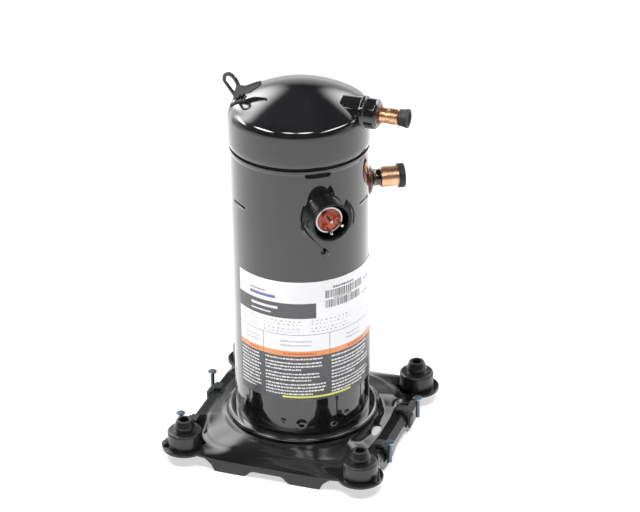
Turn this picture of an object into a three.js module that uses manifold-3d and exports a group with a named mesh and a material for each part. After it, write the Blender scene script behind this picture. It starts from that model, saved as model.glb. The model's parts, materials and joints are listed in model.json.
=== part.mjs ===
// Hermetic scroll compressor on its stamped base plate.
// Millimetres, +Z up. The origin is on the shell axis at floor level and the front faces -Y.
// Heights in this file count from a datum plane TAB_DROP above the floor, on which only the rim tabs stand.
// Plan angles are in degrees from +X, counter-clockwise seen from above.
import * as THREE from "three";
import { mergeVertices } from "three/addons/utils/BufferGeometryUtils.js";
import Module from "manifold-3d";

const wasm = await Module();
wasm.setup();

// ---------------------------------------------------------------- driving dimensions

const GAP = 0.3; // clearance left between neighbouring pieces
const TAB_DROP = 5; // the rim tabs of the base plate reach this far below the datum plane

const SHELL_R = 69.85;
const SHELL_WALL = 3;
const SHELL_FOOT = 27;
const SHELL_TOP = 326.2;
const BORE_R = SHELL_R - SHELL_WALL;

const CAP_R = 71.5;
const CAP_WALL = 3.2;
const CAP_LIP = 329.5;
const CAP_TOP = 388.5;
// Rounding between the cap's wall and its crown, and the height where it starts.
const KNUCKLE = { radius: 12, shoulder: 360 };
const KNUCKLE_LEFT = { radius: 19, shoulder: 355 }; // softer on the left, under the lifting bracket

const PLATE_T = 3;
const EAR_TOP = 10.5;
const MOUNT_HALF = 95.25; // half of the 190.5 mm grommet spacing
const EAR_R = 24;
const GROMMET_HOLE_R = 12.5;

const DISCHARGE_Z = 368;
const SUCTION_ANGLE = 30;
const SUCTION_Z = 279;
const TERMINAL_ANGLE = -50.5;
const TERMINAL_Z = 278.6;

const WRAP_BASE_R = 2.2; // base circle of the involutes
const WRAP_WALL = 2.9;
const WRAP_STEP = Math.PI / 12; // angle between outline points; a whole share of a turn keeps facets parallel
const WRAP_START = 14 * WRAP_STEP; // involute angles of the wrap's two ends, radians
const WRAP_END = 77 * WRAP_STEP;
const ORBIT_R = Math.PI * WRAP_BASE_R - WRAP_WALL - 0.35;

const HOUSING_DECK = 262;
const ORBIT_PLATE_FOOT = 268.3;
const ORBIT_PLATE_TOP = 275.3;
const FIXED_PLATE_FOOT = 299.3;
const FIXED_PLATE_TOP = 312;
const POST_ANGLES = [-105, -15, 75, 165]; // clear of the suction inlet and the terminal
const POST_R = 61.4;

const STATOR_FOOT = 100;
const STATOR_TOP = 185;
const STATOR_BORE_R = 34.6;
const ROTOR_R = 33.4;
const SHAFT_R = 11;
const JOURNAL_R = 9;

// ---------------------------------------------------------------- materials

const paint = (color, roughness, metalness) => ({ color, roughness, metalness });
const BLACK_PAINT = paint(0x141416, 0.25, 0.1);
const BLACK_PLATE = paint(0x19191b, 0.35, 0.1);
const COPPER = paint(0xc8784a, 0.3, 0.9);
const RUBBER = paint(0x2b2b2d, 0.75, 0);
const CAP_RUBBER = paint(0x303033, 0.7, 0);
const LABEL = paint(0xe6e6e6, 0.5, 0);
const STEEL = paint(0x9a9ca0, 0.4, 0.9);
const PIN_STEEL = paint(0x5c6f80, 0.35, 0.9);
const CLIP_PLASTIC = paint(0x1e211f, 0.6, 0);
const INSULATOR = paint(0xd9532f, 0.5, 0);
const CAST_IRON = paint(0x6a6c6e, 0.6, 0.7);
const LAMINATION = paint(0x7c7f84, 0.5, 0.8);
const WINDING = paint(0xa8562f, 0.45, 0.5);
const BRONZE = paint(0xb08d4f, 0.4, 0.9);
const SEAL = paint(0x3a3230, 0.6, 0);

// ---------------------------------------------------------------- helpers

const rad = (degrees) => (degrees * Math.PI) / 180;
const lerp = (from, to, share) => from + (to - from) * share;
const smooth = (low, high, value) => THREE.MathUtils.smoothstep(value, low, high);
const polar = (radius, degrees) => [radius * Math.cos(rad(degrees)), radius * Math.sin(rad(degrees))];

// A closed solid from any three.js geometry, turned face outward if it was inside out.
function solid(geometry) {
  const bare = geometry.clone();
  bare.deleteAttribute("normal");
  bare.deleteAttribute("uv");
  const merged = mergeVertices(bare, 1e-3);
  const corners = merged.index.array;
  const kept = [];
  for (let i = 0; i < corners.length; i += 3) {
    const [a, b, c] = corners.slice(i, i + 3);
    if (a !== b && b !== c && c !== a) kept.push(a, b, c);
  }
  const build = (triangles) =>
    new wasm.Manifold(
      new wasm.Mesh({
        numProp: 3,
        vertProperties: merged.attributes.position.array,
        triVerts: new Uint32Array(triangles),
      }),
    );
  const made = build(kept);
  return made.volume() < 0 ? build(kept.reverse()) : made;
}

function geometryOf(body) {
  const { vertProperties, triVerts } = body.getMesh();
  const geometry = new THREE.BufferGeometry();
  geometry.setAttribute("position", new THREE.BufferAttribute(new Float32Array(vertProperties), 3));
  geometry.setIndex(new THREE.BufferAttribute(new Uint32Array(triVerts), 1));
  return geometry;
}

const joined = (pieces) => geometryOf(pieces.map(solid).reduce((sum, piece) => sum.add(piece)));
const shared = (one, other) => geometryOf(solid(one).intersect(solid(other)));
const without = (base, cutters) =>
  geometryOf(cutters.map(solid).reduce((rest, cutter) => rest.subtract(cutter), solid(base)));

// A revolved shape about +Z from [radius, z] points.
// The outline touches the axis at both ends or closes itself.
function revolve(outline, segments) {
  const points = outline.map(([r, z]) => new THREE.Vector2(r, z));
  if (outline[0][0] !== 0) points.push(points[0].clone());
  return new THREE.LatheGeometry(points, segments).rotateX(Math.PI / 2);
}

const rod = (radius, z0, z1, segments = 20) =>
  revolve([[0, z0], [radius, z0], [radius, z1], [0, z1]], segments);
const tube = (outer, inner, z0, z1, segments = 24) =>
  revolve([[inner, z0], [outer, z0], [outer, z1], [inner, z1]], segments);

// A flat shape pushed up from z0 to z1.
function slab(shape, z0, z1, curveSegments = 12) {
  const options = { depth: z1 - z0, bevelEnabled: false, curveSegments };
  return new THREE.ExtrudeGeometry(shape, options).translate(0, 0, z0);
}
const polygon = (points) => new THREE.Shape(points.map(([x, y]) => new THREE.Vector2(x, y)));
const box = (x0, x1, y0, y1, z0, z1) =>
  new THREE.BoxGeometry(x1 - x0, y1 - y0, z1 - z0).translate((x0 + x1) / 2, (y0 + y1) / 2, (z0 + z1) / 2);

// A ring sector in plan, for plates that follow the shell.
function sector(inner, outer, fromDegrees, toDegrees) {
  const shape = new THREE.Shape();
  shape.absarc(0, 0, outer, rad(fromDegrees), rad(toDegrees), false);
  shape.absarc(0, 0, inner, rad(toDegrees), rad(fromDegrees), true);
  return shape;
}

const moved = (geometry, x, y, z = 0) => geometry.clone().translate(x, y, z);
const turned = (geometry, degrees) => geometry.clone().rotateZ(rad(degrees));

// Frame on the shell axis at a height whose +Z points outward at a plan angle and whose +Y points up.
function outwardFrame(degrees, height) {
  const out = new THREE.Vector3(...polar(1, degrees), 0);
  const up = new THREE.Vector3(0, 0, 1);
  const side = new THREE.Vector3().crossVectors(up, out);
  return new THREE.Matrix4().makeBasis(side, up, out).setPosition(0, 0, height);
}
const outward = (geometry, degrees, height) => geometry.clone().applyMatrix4(outwardFrame(degrees, height));

const group = new THREE.Group();
const compressor = new THREE.Group();
compressor.position.z = TAB_DROP;
group.add(compressor);

// Adds one named mesh to the compressor and returns it, so that the caller can place it.
function addNode(name, geometry, look) {
  const clean = geometryOf(solid(geometry));
  clean.computeVertexNormals();
  const mesh = new THREE.Mesh(clean, new THREE.MeshStandardMaterial(look));
  mesh.name = name;
  compressor.add(mesh);
  return mesh;
}

// Adds a mesh modelled along +Z and stands it on the shell so that it points outward.
function addOutward(name, geometry, look, degrees, height) {
  const mesh = addNode(name, geometry, look);
  outwardFrame(degrees, height).decompose(mesh.position, mesh.quaternion, mesh.scale);
}

// ---------------------------------------------------------------- pressure shell

const SHELL_ROOM = rod(SHELL_R + GAP, 200, 320, 64); // space kept free for the shell by what is saddled on it

// Height of the cap at a share of its radius: a knuckle at the wall runs tangent into a ball-shaped crown.
function domeHeight(share, angle, radius, lift) {
  const left = smooth(rad(105), rad(165), Math.abs(Math.atan2(Math.sin(angle), Math.cos(angle))));
  const knuckle = lerp(KNUCKLE.radius, KNUCKLE_LEFT.radius, left) + lift;
  const shoulder = lerp(KNUCKLE.shoulder, KNUCKLE_LEFT.shoulder, left);
  const rise = CAP_TOP + lift - shoulder;
  const middle = radius - knuckle;
  const crown = (rise ** 2 + middle ** 2 - knuckle ** 2) / (2 * (rise - knuckle));
  const reach = share * radius;
  const tangent = (middle * crown) / (crown - knuckle);
  if (reach < tangent) return CAP_TOP + lift - crown + Math.sqrt(crown ** 2 - reach ** 2);
  return shoulder + Math.sqrt(Math.max(0, knuckle ** 2 - (reach - middle) ** 2));
}

const DOME_SHARES = [1, 0.985, 0.955, 0.91, 0.8, 0.6, 0.35];

// One dome surface, lifted off the cap's outer face or sunk below it, down to a lip.
function domeShell(radius, lift, lip, ringShares = DOME_SHARES) {
  const outline = [[0, lip], [radius, lip]];
  ringShares.forEach((share) => outline.push([radius * share, KNUCKLE.shoulder]));
  outline.push([0, KNUCKLE.shoulder]);
  const geometry = revolve(outline, 40);
  const position = geometry.attributes.position;
  for (let i = 0; i < position.count; i += 1) {
    if (position.getZ(i) <= lip + 1e-6) continue;
    const share = Math.min(1, Math.hypot(position.getX(i), position.getY(i)) / radius);
    const angle = Math.atan2(position.getY(i), position.getX(i));
    position.setZ(i, domeHeight(share, angle, radius, lift));
  }
  return geometry;
}

function topCap() {
  const outer = domeShell(CAP_R, 0, CAP_LIP);
  const hollow = domeShell(CAP_R - CAP_WALL, -CAP_WALL, CAP_LIP - 1, [1, 0.95, 0.84, 0.6]);
  const fittingHole = outward(rod(15.5, 44, 90, 32), 0, DISCHARGE_Z);
  return without(outer, [hollow, fittingHole]);
}

const SLOT_HALF = 1.7; // half height of a staked slot

// A pill-shaped recess pressed into the shell from outside.
function stakedSlot(degrees, height, arcLength) {
  const half = arcLength / 2 - SLOT_HALF;
  const shape = new THREE.Shape();
  shape.absarc(half, 0, SLOT_HALF, -Math.PI / 2, Math.PI / 2, false);
  shape.absarc(-half, 0, SLOT_HALF, Math.PI / 2, (3 * Math.PI) / 2, false);
  return outward(slab(shape, SHELL_R - 3.2, SHELL_R + 3, 4), degrees, height);
}

const dimple = (degrees, height, radius) =>
  outward(rod(radius, SHELL_R - 1.4, SHELL_R + 3, 8), degrees, height);

function centerShell() {
  const wall = revolve(
    [
      [BORE_R, SHELL_FOOT],
      [SHELL_R, SHELL_FOOT],
      [SHELL_R, SHELL_TOP - 5],
      [SHELL_R + 0.8, SHELL_TOP - 2.6],
      [SHELL_R + 0.8, SHELL_TOP],
      [BORE_R, SHELL_TOP],
    ],
    40,
  );
  return without(wall, [
    stakedSlot(-55, 320.4, 25),
    stakedSlot(-130.5, 274, 22),
    stakedSlot(-3, 274, 22),
    dimple(-86.7, 42.6, 2.8),
    dimple(-71.4, 40.4, 5),
    dimple(-43, 38, 5),
    dimple(-30, 44, 2.8),
    outward(rod(9.3, 50, 90, 20), SUCTION_ANGLE, SUCTION_Z),
    outward(rod(16.3, 50, 90, 32), TERMINAL_ANGLE, TERMINAL_Z),
  ]);
}

// Dished cup under the shell with a rolled rim that shows as the bright ring above the base plate.
function bottomCap() {
  return revolve(
    [
      [0, 9],
      [50, 9.6],
      [64, 13.5],
      [69.6, 21],
      [76.4, 21.3],
      [78, 23.4],
      [76.4, 26.3],
      [BORE_R, 26.7],
      [BORE_R, 21.5],
      [60.5, 15.4],
      [0, 12],
    ],
    40,
  );
}

// ---------------------------------------------------------------- base plate

// Rings of the pressed sheet from the centre hole to its rim, as superellipses.
// x, y: half sizes; n: exponent; front, side, left, corner: height of the upper face in those directions.
// The right side has a pressed channel beside the shell, the left side slopes straight out to its rail.
const SHEET_RINGS = [
  { x: 70.5, y: 70.5, n: 2, front: 20.6, side: 20.6, left: 20.6, corner: 20.6, underside: true },
  { x: 79.5, y: 79.5, n: 2, front: 20.6, side: 20.6, left: 20.6, corner: 20.6, underside: true },
  { x: 83.5, y: 84, n: 2.2, front: 19.2, side: 12, left: 19, corner: 18, underside: true },
  { x: 89.5, y: 92, n: 3, front: 16.4, side: 10, left: 18, corner: 14, underside: true },
  { x: 92.5, y: 100, n: 4, front: 13.4, side: 16.4, left: 17.3, corner: EAR_TOP, underside: true },
  { x: 103, y: 107.5, n: 5, front: 10.8, side: 17, left: 17, corner: EAR_TOP },
  { x: 108, y: 112, n: 6, front: 8.8, side: 10, left: 10, corner: EAR_TOP },
];

function ringRadius(ring, angle) {
  const x = Math.abs(Math.cos(angle) / ring.x) ** ring.n;
  const y = Math.abs(Math.sin(angle) / ring.y) ** ring.n;
  return (x + y) ** (-1 / ring.n);
}

// Height of a sheet ring: the side form, the corner pad and the front form blend round the plan.
function ringHeight(ring, angle) {
  const steep = (Math.atan2(Math.abs(Math.sin(angle)), Math.abs(Math.cos(angle))) * 180) / Math.PI;
  const side = 1 - smooth(27, 36, steep);
  const front = smooth(54, 62, steep);
  const beside = Math.cos(angle) < 0 ? ring.left : ring.side;
  return ring.corner + (beside - ring.corner) * side + (ring.front - ring.corner) * front;
}

// Lower edge of the rim flange: two deep tabs with a shallower middle on every side.
function flangeFoot(x, y) {
  const along = Math.min(Math.abs(x), Math.abs(y));
  const tab = smooth(15, 25, along) * (1 - smooth(57, 61, along));
  return lerp(lerp(2, -TAB_DROP, tab), EAR_TOP - PLATE_T, smooth(60, 68, along));
}

function pressedSheet() {
  const top = SHEET_RINGS.map((ring) => ({ ring, drop: 0, inset: 0, flange: false }));
  const rim = SHEET_RINGS[SHEET_RINGS.length - 1];
  const outerFoot = { ring: rim, drop: 0, inset: 0, flange: true };
  const innerFoot = { ring: rim, drop: 0, inset: PLATE_T, flange: true };
  const lastInner = { ring: rim, drop: PLATE_T, inset: PLATE_T, flange: false };
  const under = SHEET_RINGS.slice(0, -1)
    .reverse()
    .filter((ring) => ring.underside)
    .map((ring) => ({ ring, drop: PLATE_T, inset: 0, flange: false }));
  const stations = [...top, outerFoot, innerFoot, lastInner, ...under];
  stations.push(stations[0]);
  const geometry = revolve(stations.map((_, i) => [100 + i, i]).slice(0, -1), 60);
  const position = geometry.attributes.position;
  for (let i = 0; i < position.count; i += 1) {
    const { ring, drop, inset, flange } = stations[i % stations.length];
    const angle = Math.atan2(position.getY(i), position.getX(i));
    const radius = ringRadius(ring, angle) - inset;
    const x = radius * Math.cos(angle);
    const y = radius * Math.sin(angle);
    position.setXYZ(i, x, y, flange ? flangeFoot(x, y) : ringHeight(ring, angle) - drop);
  }
  return geometry;
}

// Rounded finger that runs on from the side rail past the front grommet.
function railFinger(side) {
  const finger = new THREE.Shape();
  finger.absarc(114, 101, 5, -rad(5), rad(175), false);
  finger.lineTo(98.5, 72);
  finger.lineTo(106.5, 72);
  return slab(finger, EAR_TOP - PLATE_T + 0.6, EAR_TOP + 2.4, 4).scale(side, -1, 1);
}

const CORNERS = { fl: [-1, -1], fr: [1, -1], rl: [-1, 1], rr: [1, 1] };
const atCorner = (geometry, [x, y]) => moved(geometry, MOUNT_HALF * x, MOUNT_HALF * y);

function basePlate() {
  const corners = Object.values(CORNERS);
  const ears = corners.map((corner) => atCorner(rod(EAR_R, EAR_TOP - PLATE_T, EAR_TOP, 20), corner));
  const seats = corners.map((corner) => atCorner(rod(18.7, EAR_TOP, 30, 16), corner));
  const grommetHoles = corners.map((corner) => atCorner(rod(GROMMET_HOLE_R, 0, 20, 16), corner));
  const fingers = [-1, 1].map(railFinger);
  const slot = box(-1.6, 1.6, -9, 9, 0, 30);
  const slots = [-1, 1].map((side) => moved(turned(slot, 18 * side), 108.2 * side, -114));
  const window = moved(rod(3.6, 0, 30, 10).scale(1, 3, 1), 84, -8);
  const sheet = joined([pressedSheet(), ...ears, ...fingers]);
  return without(sheet, [...seats, ...grommetHoles, ...slots, window]);
}

function grommet() {
  return revolve(
    [
      [5, 3.6],
      [14, 3.6],
      [15, 7.2],
      [12.2, 7.2],
      [12.2, 10.8],
      [18, 10.8],
      [18, 26.5],
      [16.6, 28],
      [9.4, 28],
      [11, 32.4],
      [8, 40],
      [5, 40],
    ],
    16,
  );
}

// Headed pin that stands outside a side rail.
const railPin = () => revolve([[0, 5], [2.1, 6.5], [2.1, 28.4], [4.8, 28.6], [4.8, 29.9], [0, 30.2]], 12);

// Clip beside the pin, hooked over the outer slope of the side rail, with a toothed back.
function railClip() {
  const profile = polygon([
    [95.5, 17.6],
    [103.5, 17.6],
    [108.9, 10.6],
    [108.9, 1],
    [111.3, 1],
    [111.3, 13.6],
    [108.9, 13.8],
    [109.1, 16.4],
    [106.7, 16.6],
    [106.9, 19.2],
    [104.5, 19.4],
    [103.5, 21.4],
    [95.5, 21],
  ]);
  return slab(profile, -5.5, 5.5).rotateX(Math.PI / 2);
}

// ---------------------------------------------------------------- ports and lifting bracket

function dischargeFitting() {
  return revolve(
    [[6, 46], [15.2, 46], [15.2, 81.6], [12.6, 84.3], [8.6, 84.3], [8.6, 78], [6, 78]],
    24,
  );
}

const dischargeStub = () =>
  revolve([[6.2, 78.4], [7.9, 78.4], [7.9, 88], [7.4, 92], [8.1, 97], [7.7, 104.6], [6.2, 104.6]], 20);

const dischargePlug = () =>
  revolve([[0, 96], [5.8, 96], [5.8, 104.9], [8.4, 104.9], [8.6, 109], [9.6, 114.6], [0, 114.6]], 20);

// Collar saddled on the shell, running out as the steel tube that holds the copper stub.
function suctionFitting() {
  const flare = revolve([[6.8, 66], [16, 66], [16, 72.4], [11, 74], [8.3, 77], [8.3, 89], [6.8, 89]], 16);
  const neck = outward(tube(9, 6.8, 63, 74, 16), SUCTION_ANGLE, SUCTION_Z);
  const saddle = without(outward(flare, SUCTION_ANGLE, SUCTION_Z), [SHELL_ROOM]);
  return joined([saddle, neck]);
}

const suctionStub = () =>
  revolve([[8.6, 83], [9.8, 82], [10.5, 83], [10.5, 102.2], [9.3, 102.2], [9.3, 86], [8.6, 85]], 20);

function suctionCap() {
  const skirt = [[9, 96], [9, 102.5], [10.8, 102.5], [10.8, 100.6], [12.5, 100.6], [12.5, 107]];
  return revolve([[0, 96], ...skirt, [0, 107.4]], 24);
}

// Bent plate on the dome: a leaning eye on the left and a wing with a hooked tip on the right.
function liftingBracket() {
  const eye = new THREE.Shape();
  eye.moveTo(-53.5, 377);
  eye.lineTo(-54.5, 390);
  eye.quadraticCurveTo(-60, 402, -67, 401.2);
  eye.quadraticCurveTo(-74, 400, -72.6, 391);
  eye.lineTo(-62, 376.5);
  eye.lineTo(-62, 355);
  eye.lineTo(-53.5, 355);
  const opening = new THREE.Path();
  opening.moveTo(-60.5, 381);
  opening.lineTo(-69.2, 391.5);
  opening.quadraticCurveTo(-69.8, 397, -66, 397.2);
  opening.quadraticCurveTo(-61.5, 396, -58.4, 388);
  eye.holes.push(opening);
  const wing = polygon([
    [-57, 377],
    [-42.6, 382.6],
    [-31.4, 392.4],
    [-32.6, 396.8],
    [-36.5, 395.4],
    [-49, 389.4],
    [-57, 388.6],
  ]);
  const upright = new THREE.Matrix4().makeBasis(
    new THREE.Vector3(1, 0, 0),
    new THREE.Vector3(0, 0, 1),
    new THREE.Vector3(0, -1, 0),
  );
  const plate = joined([slab(eye, 17.5, 21, 6), slab(wing, 17.5, 21)]).applyMatrix4(upright);
  const footSkin = domeShell(CAP_R + 3.2, 3.2, CAP_LIP);
  const foot = shared(footSkin, box(-63.5, -51, -25, -14.2, 356, 390));
  return without(joined([plate, foot]), [domeShell(CAP_R + GAP, GAP, CAP_LIP)]);
}

// ---------------------------------------------------------------- electrical terminal

// Round guard round the terminal, saddled on the shell.
function terminalFence() {
  const guard = tube(20.4, 18, 64, 92, 28);
  return without(outward(guard, TERMINAL_ANGLE, TERMINAL_Z), [SHELL_ROOM]);
}

// Swept-back ear on the right of the guard's mouth.
function terminalEar() {
  const cone = revolve([[20.8, 88.6], [26.6, 84.6], [26.6, 87.2], [20.8, 91.2]], 48);
  const ear = shared(cone, slab(sector(19, 31, -26, 48), 80, 93, 10));
  const slot = slab(sector(23.2, 24.6, -14, 26), 80, 93, 6);
  return without(ear, [slot]);
}

function terminalBody() {
  const seat = [[13.5, 60], [13.5, 64], [15.8, 64], [15.8, 72]];
  return revolve([[12.3, 60], ...seat, [14, 74], [14, 84.6], [12.3, 84.6]], 20);
}

const PIN_CIRCLE = 7.4;
const pinSpots = [0, 120, 240].map((degrees) => polar(PIN_CIRCLE, degrees));

function terminalInsulator() {
  const disc = rod(12, 80, 83.8, 20);
  const collars = pinSpots.map(([x, y]) => moved(rod(3, 80, 88.5, 10), x, y));
  const pinHoles = pinSpots.map(([x, y]) => moved(rod(1.9, 60, 99, 8), x, y));
  return without(joined([disc, ...collars]), pinHoles);
}

const terminalPin = ([x, y]) => moved(rod(1.5, 58.5, 102.5, 8), x, y);

const EARTH_ANGLE = -50;
const EARTH_Z = 235;

// Strip from the guard's left side down to a ring lug under a screw on the shell.
function earthStrap() {
  const at = (radius, degrees, z) => new THREE.Vector3(...polar(radius, degrees), z);
  const path = new THREE.CatmullRomCurve3([
    at(86, -66.5, 281),
    at(79, -69, 270),
    at(74, -66, 259),
    at(72.2, -58.5, 247),
    at(71.5, -52, 238),
  ]);
  const section = polygon([[-0.7, -1.2], [0.7, -1.2], [0.7, 1.2], [-0.7, 1.2]]);
  const strip = new THREE.ExtrudeGeometry(section, { steps: 8, extrudePath: path, bevelEnabled: false });
  const lug = outward(rod(4, 70.2, 71.8, 16), EARTH_ANGLE, EARTH_Z);
  const screwHole = outward(rod(1.6, 60, 80, 10), EARTH_ANGLE, EARTH_Z);
  return without(joined([strip, lug]), [SHELL_ROOM, screwHole]);
}

const earthScrew = () =>
  revolve([[0, 70.3], [1.2, 70.3], [1.2, 72.1], [3.6, 72.1], [3.6, 73.6], [2.4, 74.6], [0, 74.6]], 10);

const label = () => slab(sector(SHELL_R + GAP, SHELL_R + 0.75, -131, 22), 68, 204, 20);

// ---------------------------------------------------------------- scroll set

// Plan outline of an involute wall of constant thickness, turned by a whole angle in degrees.
function involuteWall(degrees) {
  const half = WRAP_WALL / (2 * WRAP_BASE_R);
  const point = (theta, offset) => {
    const reach = theta + offset;
    const x = WRAP_BASE_R * (Math.cos(theta) + reach * Math.sin(theta));
    const y = WRAP_BASE_R * (Math.sin(theta) - reach * Math.cos(theta));
    return [x, y];
  };
  const steps = Math.round((WRAP_END - WRAP_START) / WRAP_STEP);
  const thetas = Array.from({ length: steps + 1 }, (_, i) => lerp(WRAP_START, WRAP_END, i / steps));
  const outer = thetas.map((theta) => point(theta, half));
  const inner = thetas.map((theta) => point(theta, -half)).reverse();
  const turn = new THREE.Matrix4().makeRotationZ(rad(degrees));
  return new THREE.Shape(
    [...outer, ...inner].map(([x, y]) => {
      const spot = new THREE.Vector3(x, y, 0).applyMatrix4(turn);
      return new THREE.Vector2(spot.x, spot.y);
    }),
  );
}

function orbitingScroll() {
  const plate = rod(53.5, ORBIT_PLATE_FOOT, ORBIT_PLATE_TOP, 36);
  const hub = tube(20, 15.3, 249.5, ORBIT_PLATE_FOOT + 0.5);
  const wrap = slab(involuteWall(0), ORBIT_PLATE_TOP - 0.5, FIXED_PLATE_FOOT - GAP);
  const reach = 3.3 + 2 * ORBIT_R;
  const keyWay = box(-reach, reach, -9, 9, ORBIT_PLATE_FOOT - 1, 271.9);
  const keyWays = [-1, 1].map((side) => moved(keyWay, 0, side * 50));
  return moved(without(joined([plate, hub, wrap]), keyWays), ORBIT_R, 0);
}

function fixedScroll() {
  const plate = rod(56, FIXED_PLATE_FOOT, FIXED_PLATE_TOP, 32);
  const skirt = tube(56, 52, ORBIT_PLATE_TOP + GAP, FIXED_PLATE_FOOT + 0.5, 32);
  const wrap = slab(involuteWall(180), ORBIT_PLATE_TOP + GAP, FIXED_PLATE_FOOT + 0.5);
  const lugs = POST_ANGLES.map((angle) =>
    turned(box(54, 65.8, -8, 8, FIXED_PLATE_FOOT, 306), angle),
  );
  const screwHoles = POST_ANGLES.map((angle) => moved(rod(2.6, 290, 315, 8), ...polar(POST_R, angle)));
  const port = rod(5, 280, 320, 14);
  const inlet = turned(box(48, 62, -11, 11, ORBIT_PLATE_TOP - 1, 292), SUCTION_ANGLE);
  const sealGroove = tube(29, 19.6, 308, 320, 28);
  return without(joined([plate, skirt, wrap, ...lugs]), [...screwHoles, port, inlet, sealGroove]);
}

const scrollScrew = (angle) => {
  const shank = rod(2.2, 290, 306.8, 8);
  const head = rod(4.8, 306.3, 311.5, 6);
  return moved(joined([shank, head]), ...polar(POST_R, angle));
};

// Coupling ring that keeps the orbiting scroll from turning: keys below run along X, keys above along Y.
// It rests displaced with the orbiting scroll, at one end of its stroke.
function oldhamRing() {
  const ring = tube(54.4, 45.4, 262.6, 267.6, 32);
  const lower = [-1, 1].map((side) => box(side * 50 - 4.2, side * 50 + 4.2, -3, 3, 259.4, 263));
  const upper = [-1, 1].map((side) => box(-3, 3, side * 50 - 4.2, side * 50 + 4.2, 267, 271.5));
  return moved(joined([ring, ...lower, ...upper]), ORBIT_R, 0);
}

// Cast housing: hub with the main bearing, deck, thrust ring for the orbiting scroll,
// posts for the fixed one.
function mainBearingHousing() {
  const casting = revolve(
    [
      [14.3, 214],
      [21, 214],
      [25, 222],
      [32, 242],
      [60, 249],
      [66.2, 249],
      [66.2, 262],
      [41.2, HOUSING_DECK],
      [41.2, 268],
      [26, 268],
      [26, 245.5],
      [14.3, 245.5],
    ],
    28,
  );
  const posts = POST_ANGLES.map((angle) => turned(box(58.6, 65.8, -7, 7, 260, 299), angle));
  const threads = POST_ANGLES.map((angle) => moved(rod(2.5, 288, 300, 8), ...polar(POST_R, angle)));
  const keyWays = [-1, 1].map((side) => box(side * 50 - 8.4, side * 50 + 8.4, -3.4, 3.4, 259, 263));
  return without(joined([casting, ...posts]), [...threads, ...keyWays]);
}

// ---------------------------------------------------------------- shaft and motor

function crankshaft() {
  const shaft = revolve(
    [
      [0, 57.6],
      [JOURNAL_R, 57.6],
      [JOURNAL_R, 76],
      [SHAFT_R, 77],
      [SHAFT_R, 246.4],
      [17, 246.4],
      [17, 249],
      [0, 249],
    ],
    20,
  );
  const pin = moved(rod(10.2, 248.5, 266, 20), ORBIT_R, 0);
  const oilBore = moved(rod(2.4, 50, 270, 8), 3, 0);
  return without(joined([shaft, pin]), [oilBore]);
}

const driveBush = () => moved(tube(15, 10.5, 249.4, 266), ORBIT_R, 0);

// Half ring that balances the orbiting scroll, set opposite or in line with the eccentric pin.
const counterweight = (from, to, z0, z1, outer, inner) => slab(sector(inner, outer, from, to), z0, z1, 9);

const rotorCore = () => tube(ROTOR_R, SHAFT_R + GAP, 101, 184, 32);

function statorCore() {
  const slots = 12;
  const pitch = 360 / slots;
  const bore = new THREE.Path();
  for (let i = 0; i < slots; i += 1) {
    const tooth = i * pitch;
    bore[i ? "lineTo" : "moveTo"](...polar(STATOR_BORE_R, tooth - 11));
    bore.lineTo(...polar(STATOR_BORE_R, tooth + 11));
    bore.lineTo(...polar(51, tooth + 8));
    bore.lineTo(...polar(51, tooth + pitch - 8));
  }
  const core = new THREE.Shape();
  core.absarc(0, 0, BORE_R - 0.35, 0, 2 * Math.PI, false);
  core.holes.push(bore);
  return slab(core, STATOR_FOOT, STATOR_TOP, 24);
}

const windingHead = (z0, z1) =>
  revolve([[39, z0], [52, z0], [56, lerp(z0, z1, 0.3)], [56, lerp(z0, z1, 0.7)], [52, z1], [39, z1]], 20);

function lowerBearingBracket() {
  const hub = revolve([[4, 52], [13, 52], [16, 56], [16, 74], [12.6, 74], [12.6, 55], [4, 55]], 20);
  const arms = [0, 120, 240].map((angle) => turned(box(14, 65, -7, 7, 60, 66), angle + 30));
  const rim = tube(66.4, 62, 58, 72, 28);
  return joined([hub, rim, ...arms]);
}

// ---------------------------------------------------------------- above and beside the scrolls

function mufflerPlate() {
  return revolve(
    [
      [12, 318.6],
      [17, 318.6],
      [18, 320.6],
      [60, 323.6],
      [65, 326.5],
      [69.3, 326.5],
      [69.3, 329.2],
      [63.5, 329.2],
      [58, 326.6],
      [12, 323.6],
    ],
    28,
  );
}

const floatingSeal = () =>
  revolve([[20, 308.4], [28.6, 308.4], [28.6, 314], [24, 314], [23, 318.2], [20, 318.2]], 24);

// Cage over the plate's hub; the disc lifts off its seat inside it.
function valveGuide() {
  const cage = revolve(
    [
      [10, 324.2],
      [22, 324.8],
      [22, 326.8],
      [15, 326.8],
      [15, 337],
      [4, 337],
      [4, 335],
      [13, 335],
      [13, 326.6],
      [10, 326.6],
    ],
    16,
  );
  const windows = [0, 90].map((angle) => turned(box(-20, 20, -4, 4, 328, 333.5), angle));
  return without(cage, windows);
}

const valveDisc = () => rod(12.4, 326.9, 328.8, 20);

const suctionBaffle = () => slab(sector(60.4, 62, 12, 48), 264, 294, 8);

// ---------------------------------------------------------------- assembly

addNode("top_cap", topCap(), BLACK_PAINT);
addNode("center_shell", centerShell(), BLACK_PAINT);
addNode("bottom_cap", bottomCap(), BLACK_PAINT);
addNode("base_plate", basePlate(), BLACK_PLATE);
addNode("lifting_bracket", liftingBracket(), BLACK_PLATE);
addNode("label", label(), LABEL);

addOutward("discharge_fitting", dischargeFitting(), BLACK_PAINT, 0, DISCHARGE_Z);
addOutward("discharge_stub", dischargeStub(), COPPER, 0, DISCHARGE_Z);
addOutward("discharge_plug", dischargePlug(), CAP_RUBBER, 0, DISCHARGE_Z);
addNode("suction_fitting", suctionFitting(), BLACK_PAINT);
addOutward("suction_stub", suctionStub(), COPPER, SUCTION_ANGLE, SUCTION_Z);
addOutward("suction_cap", suctionCap(), CAP_RUBBER, SUCTION_ANGLE, SUCTION_Z);

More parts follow.
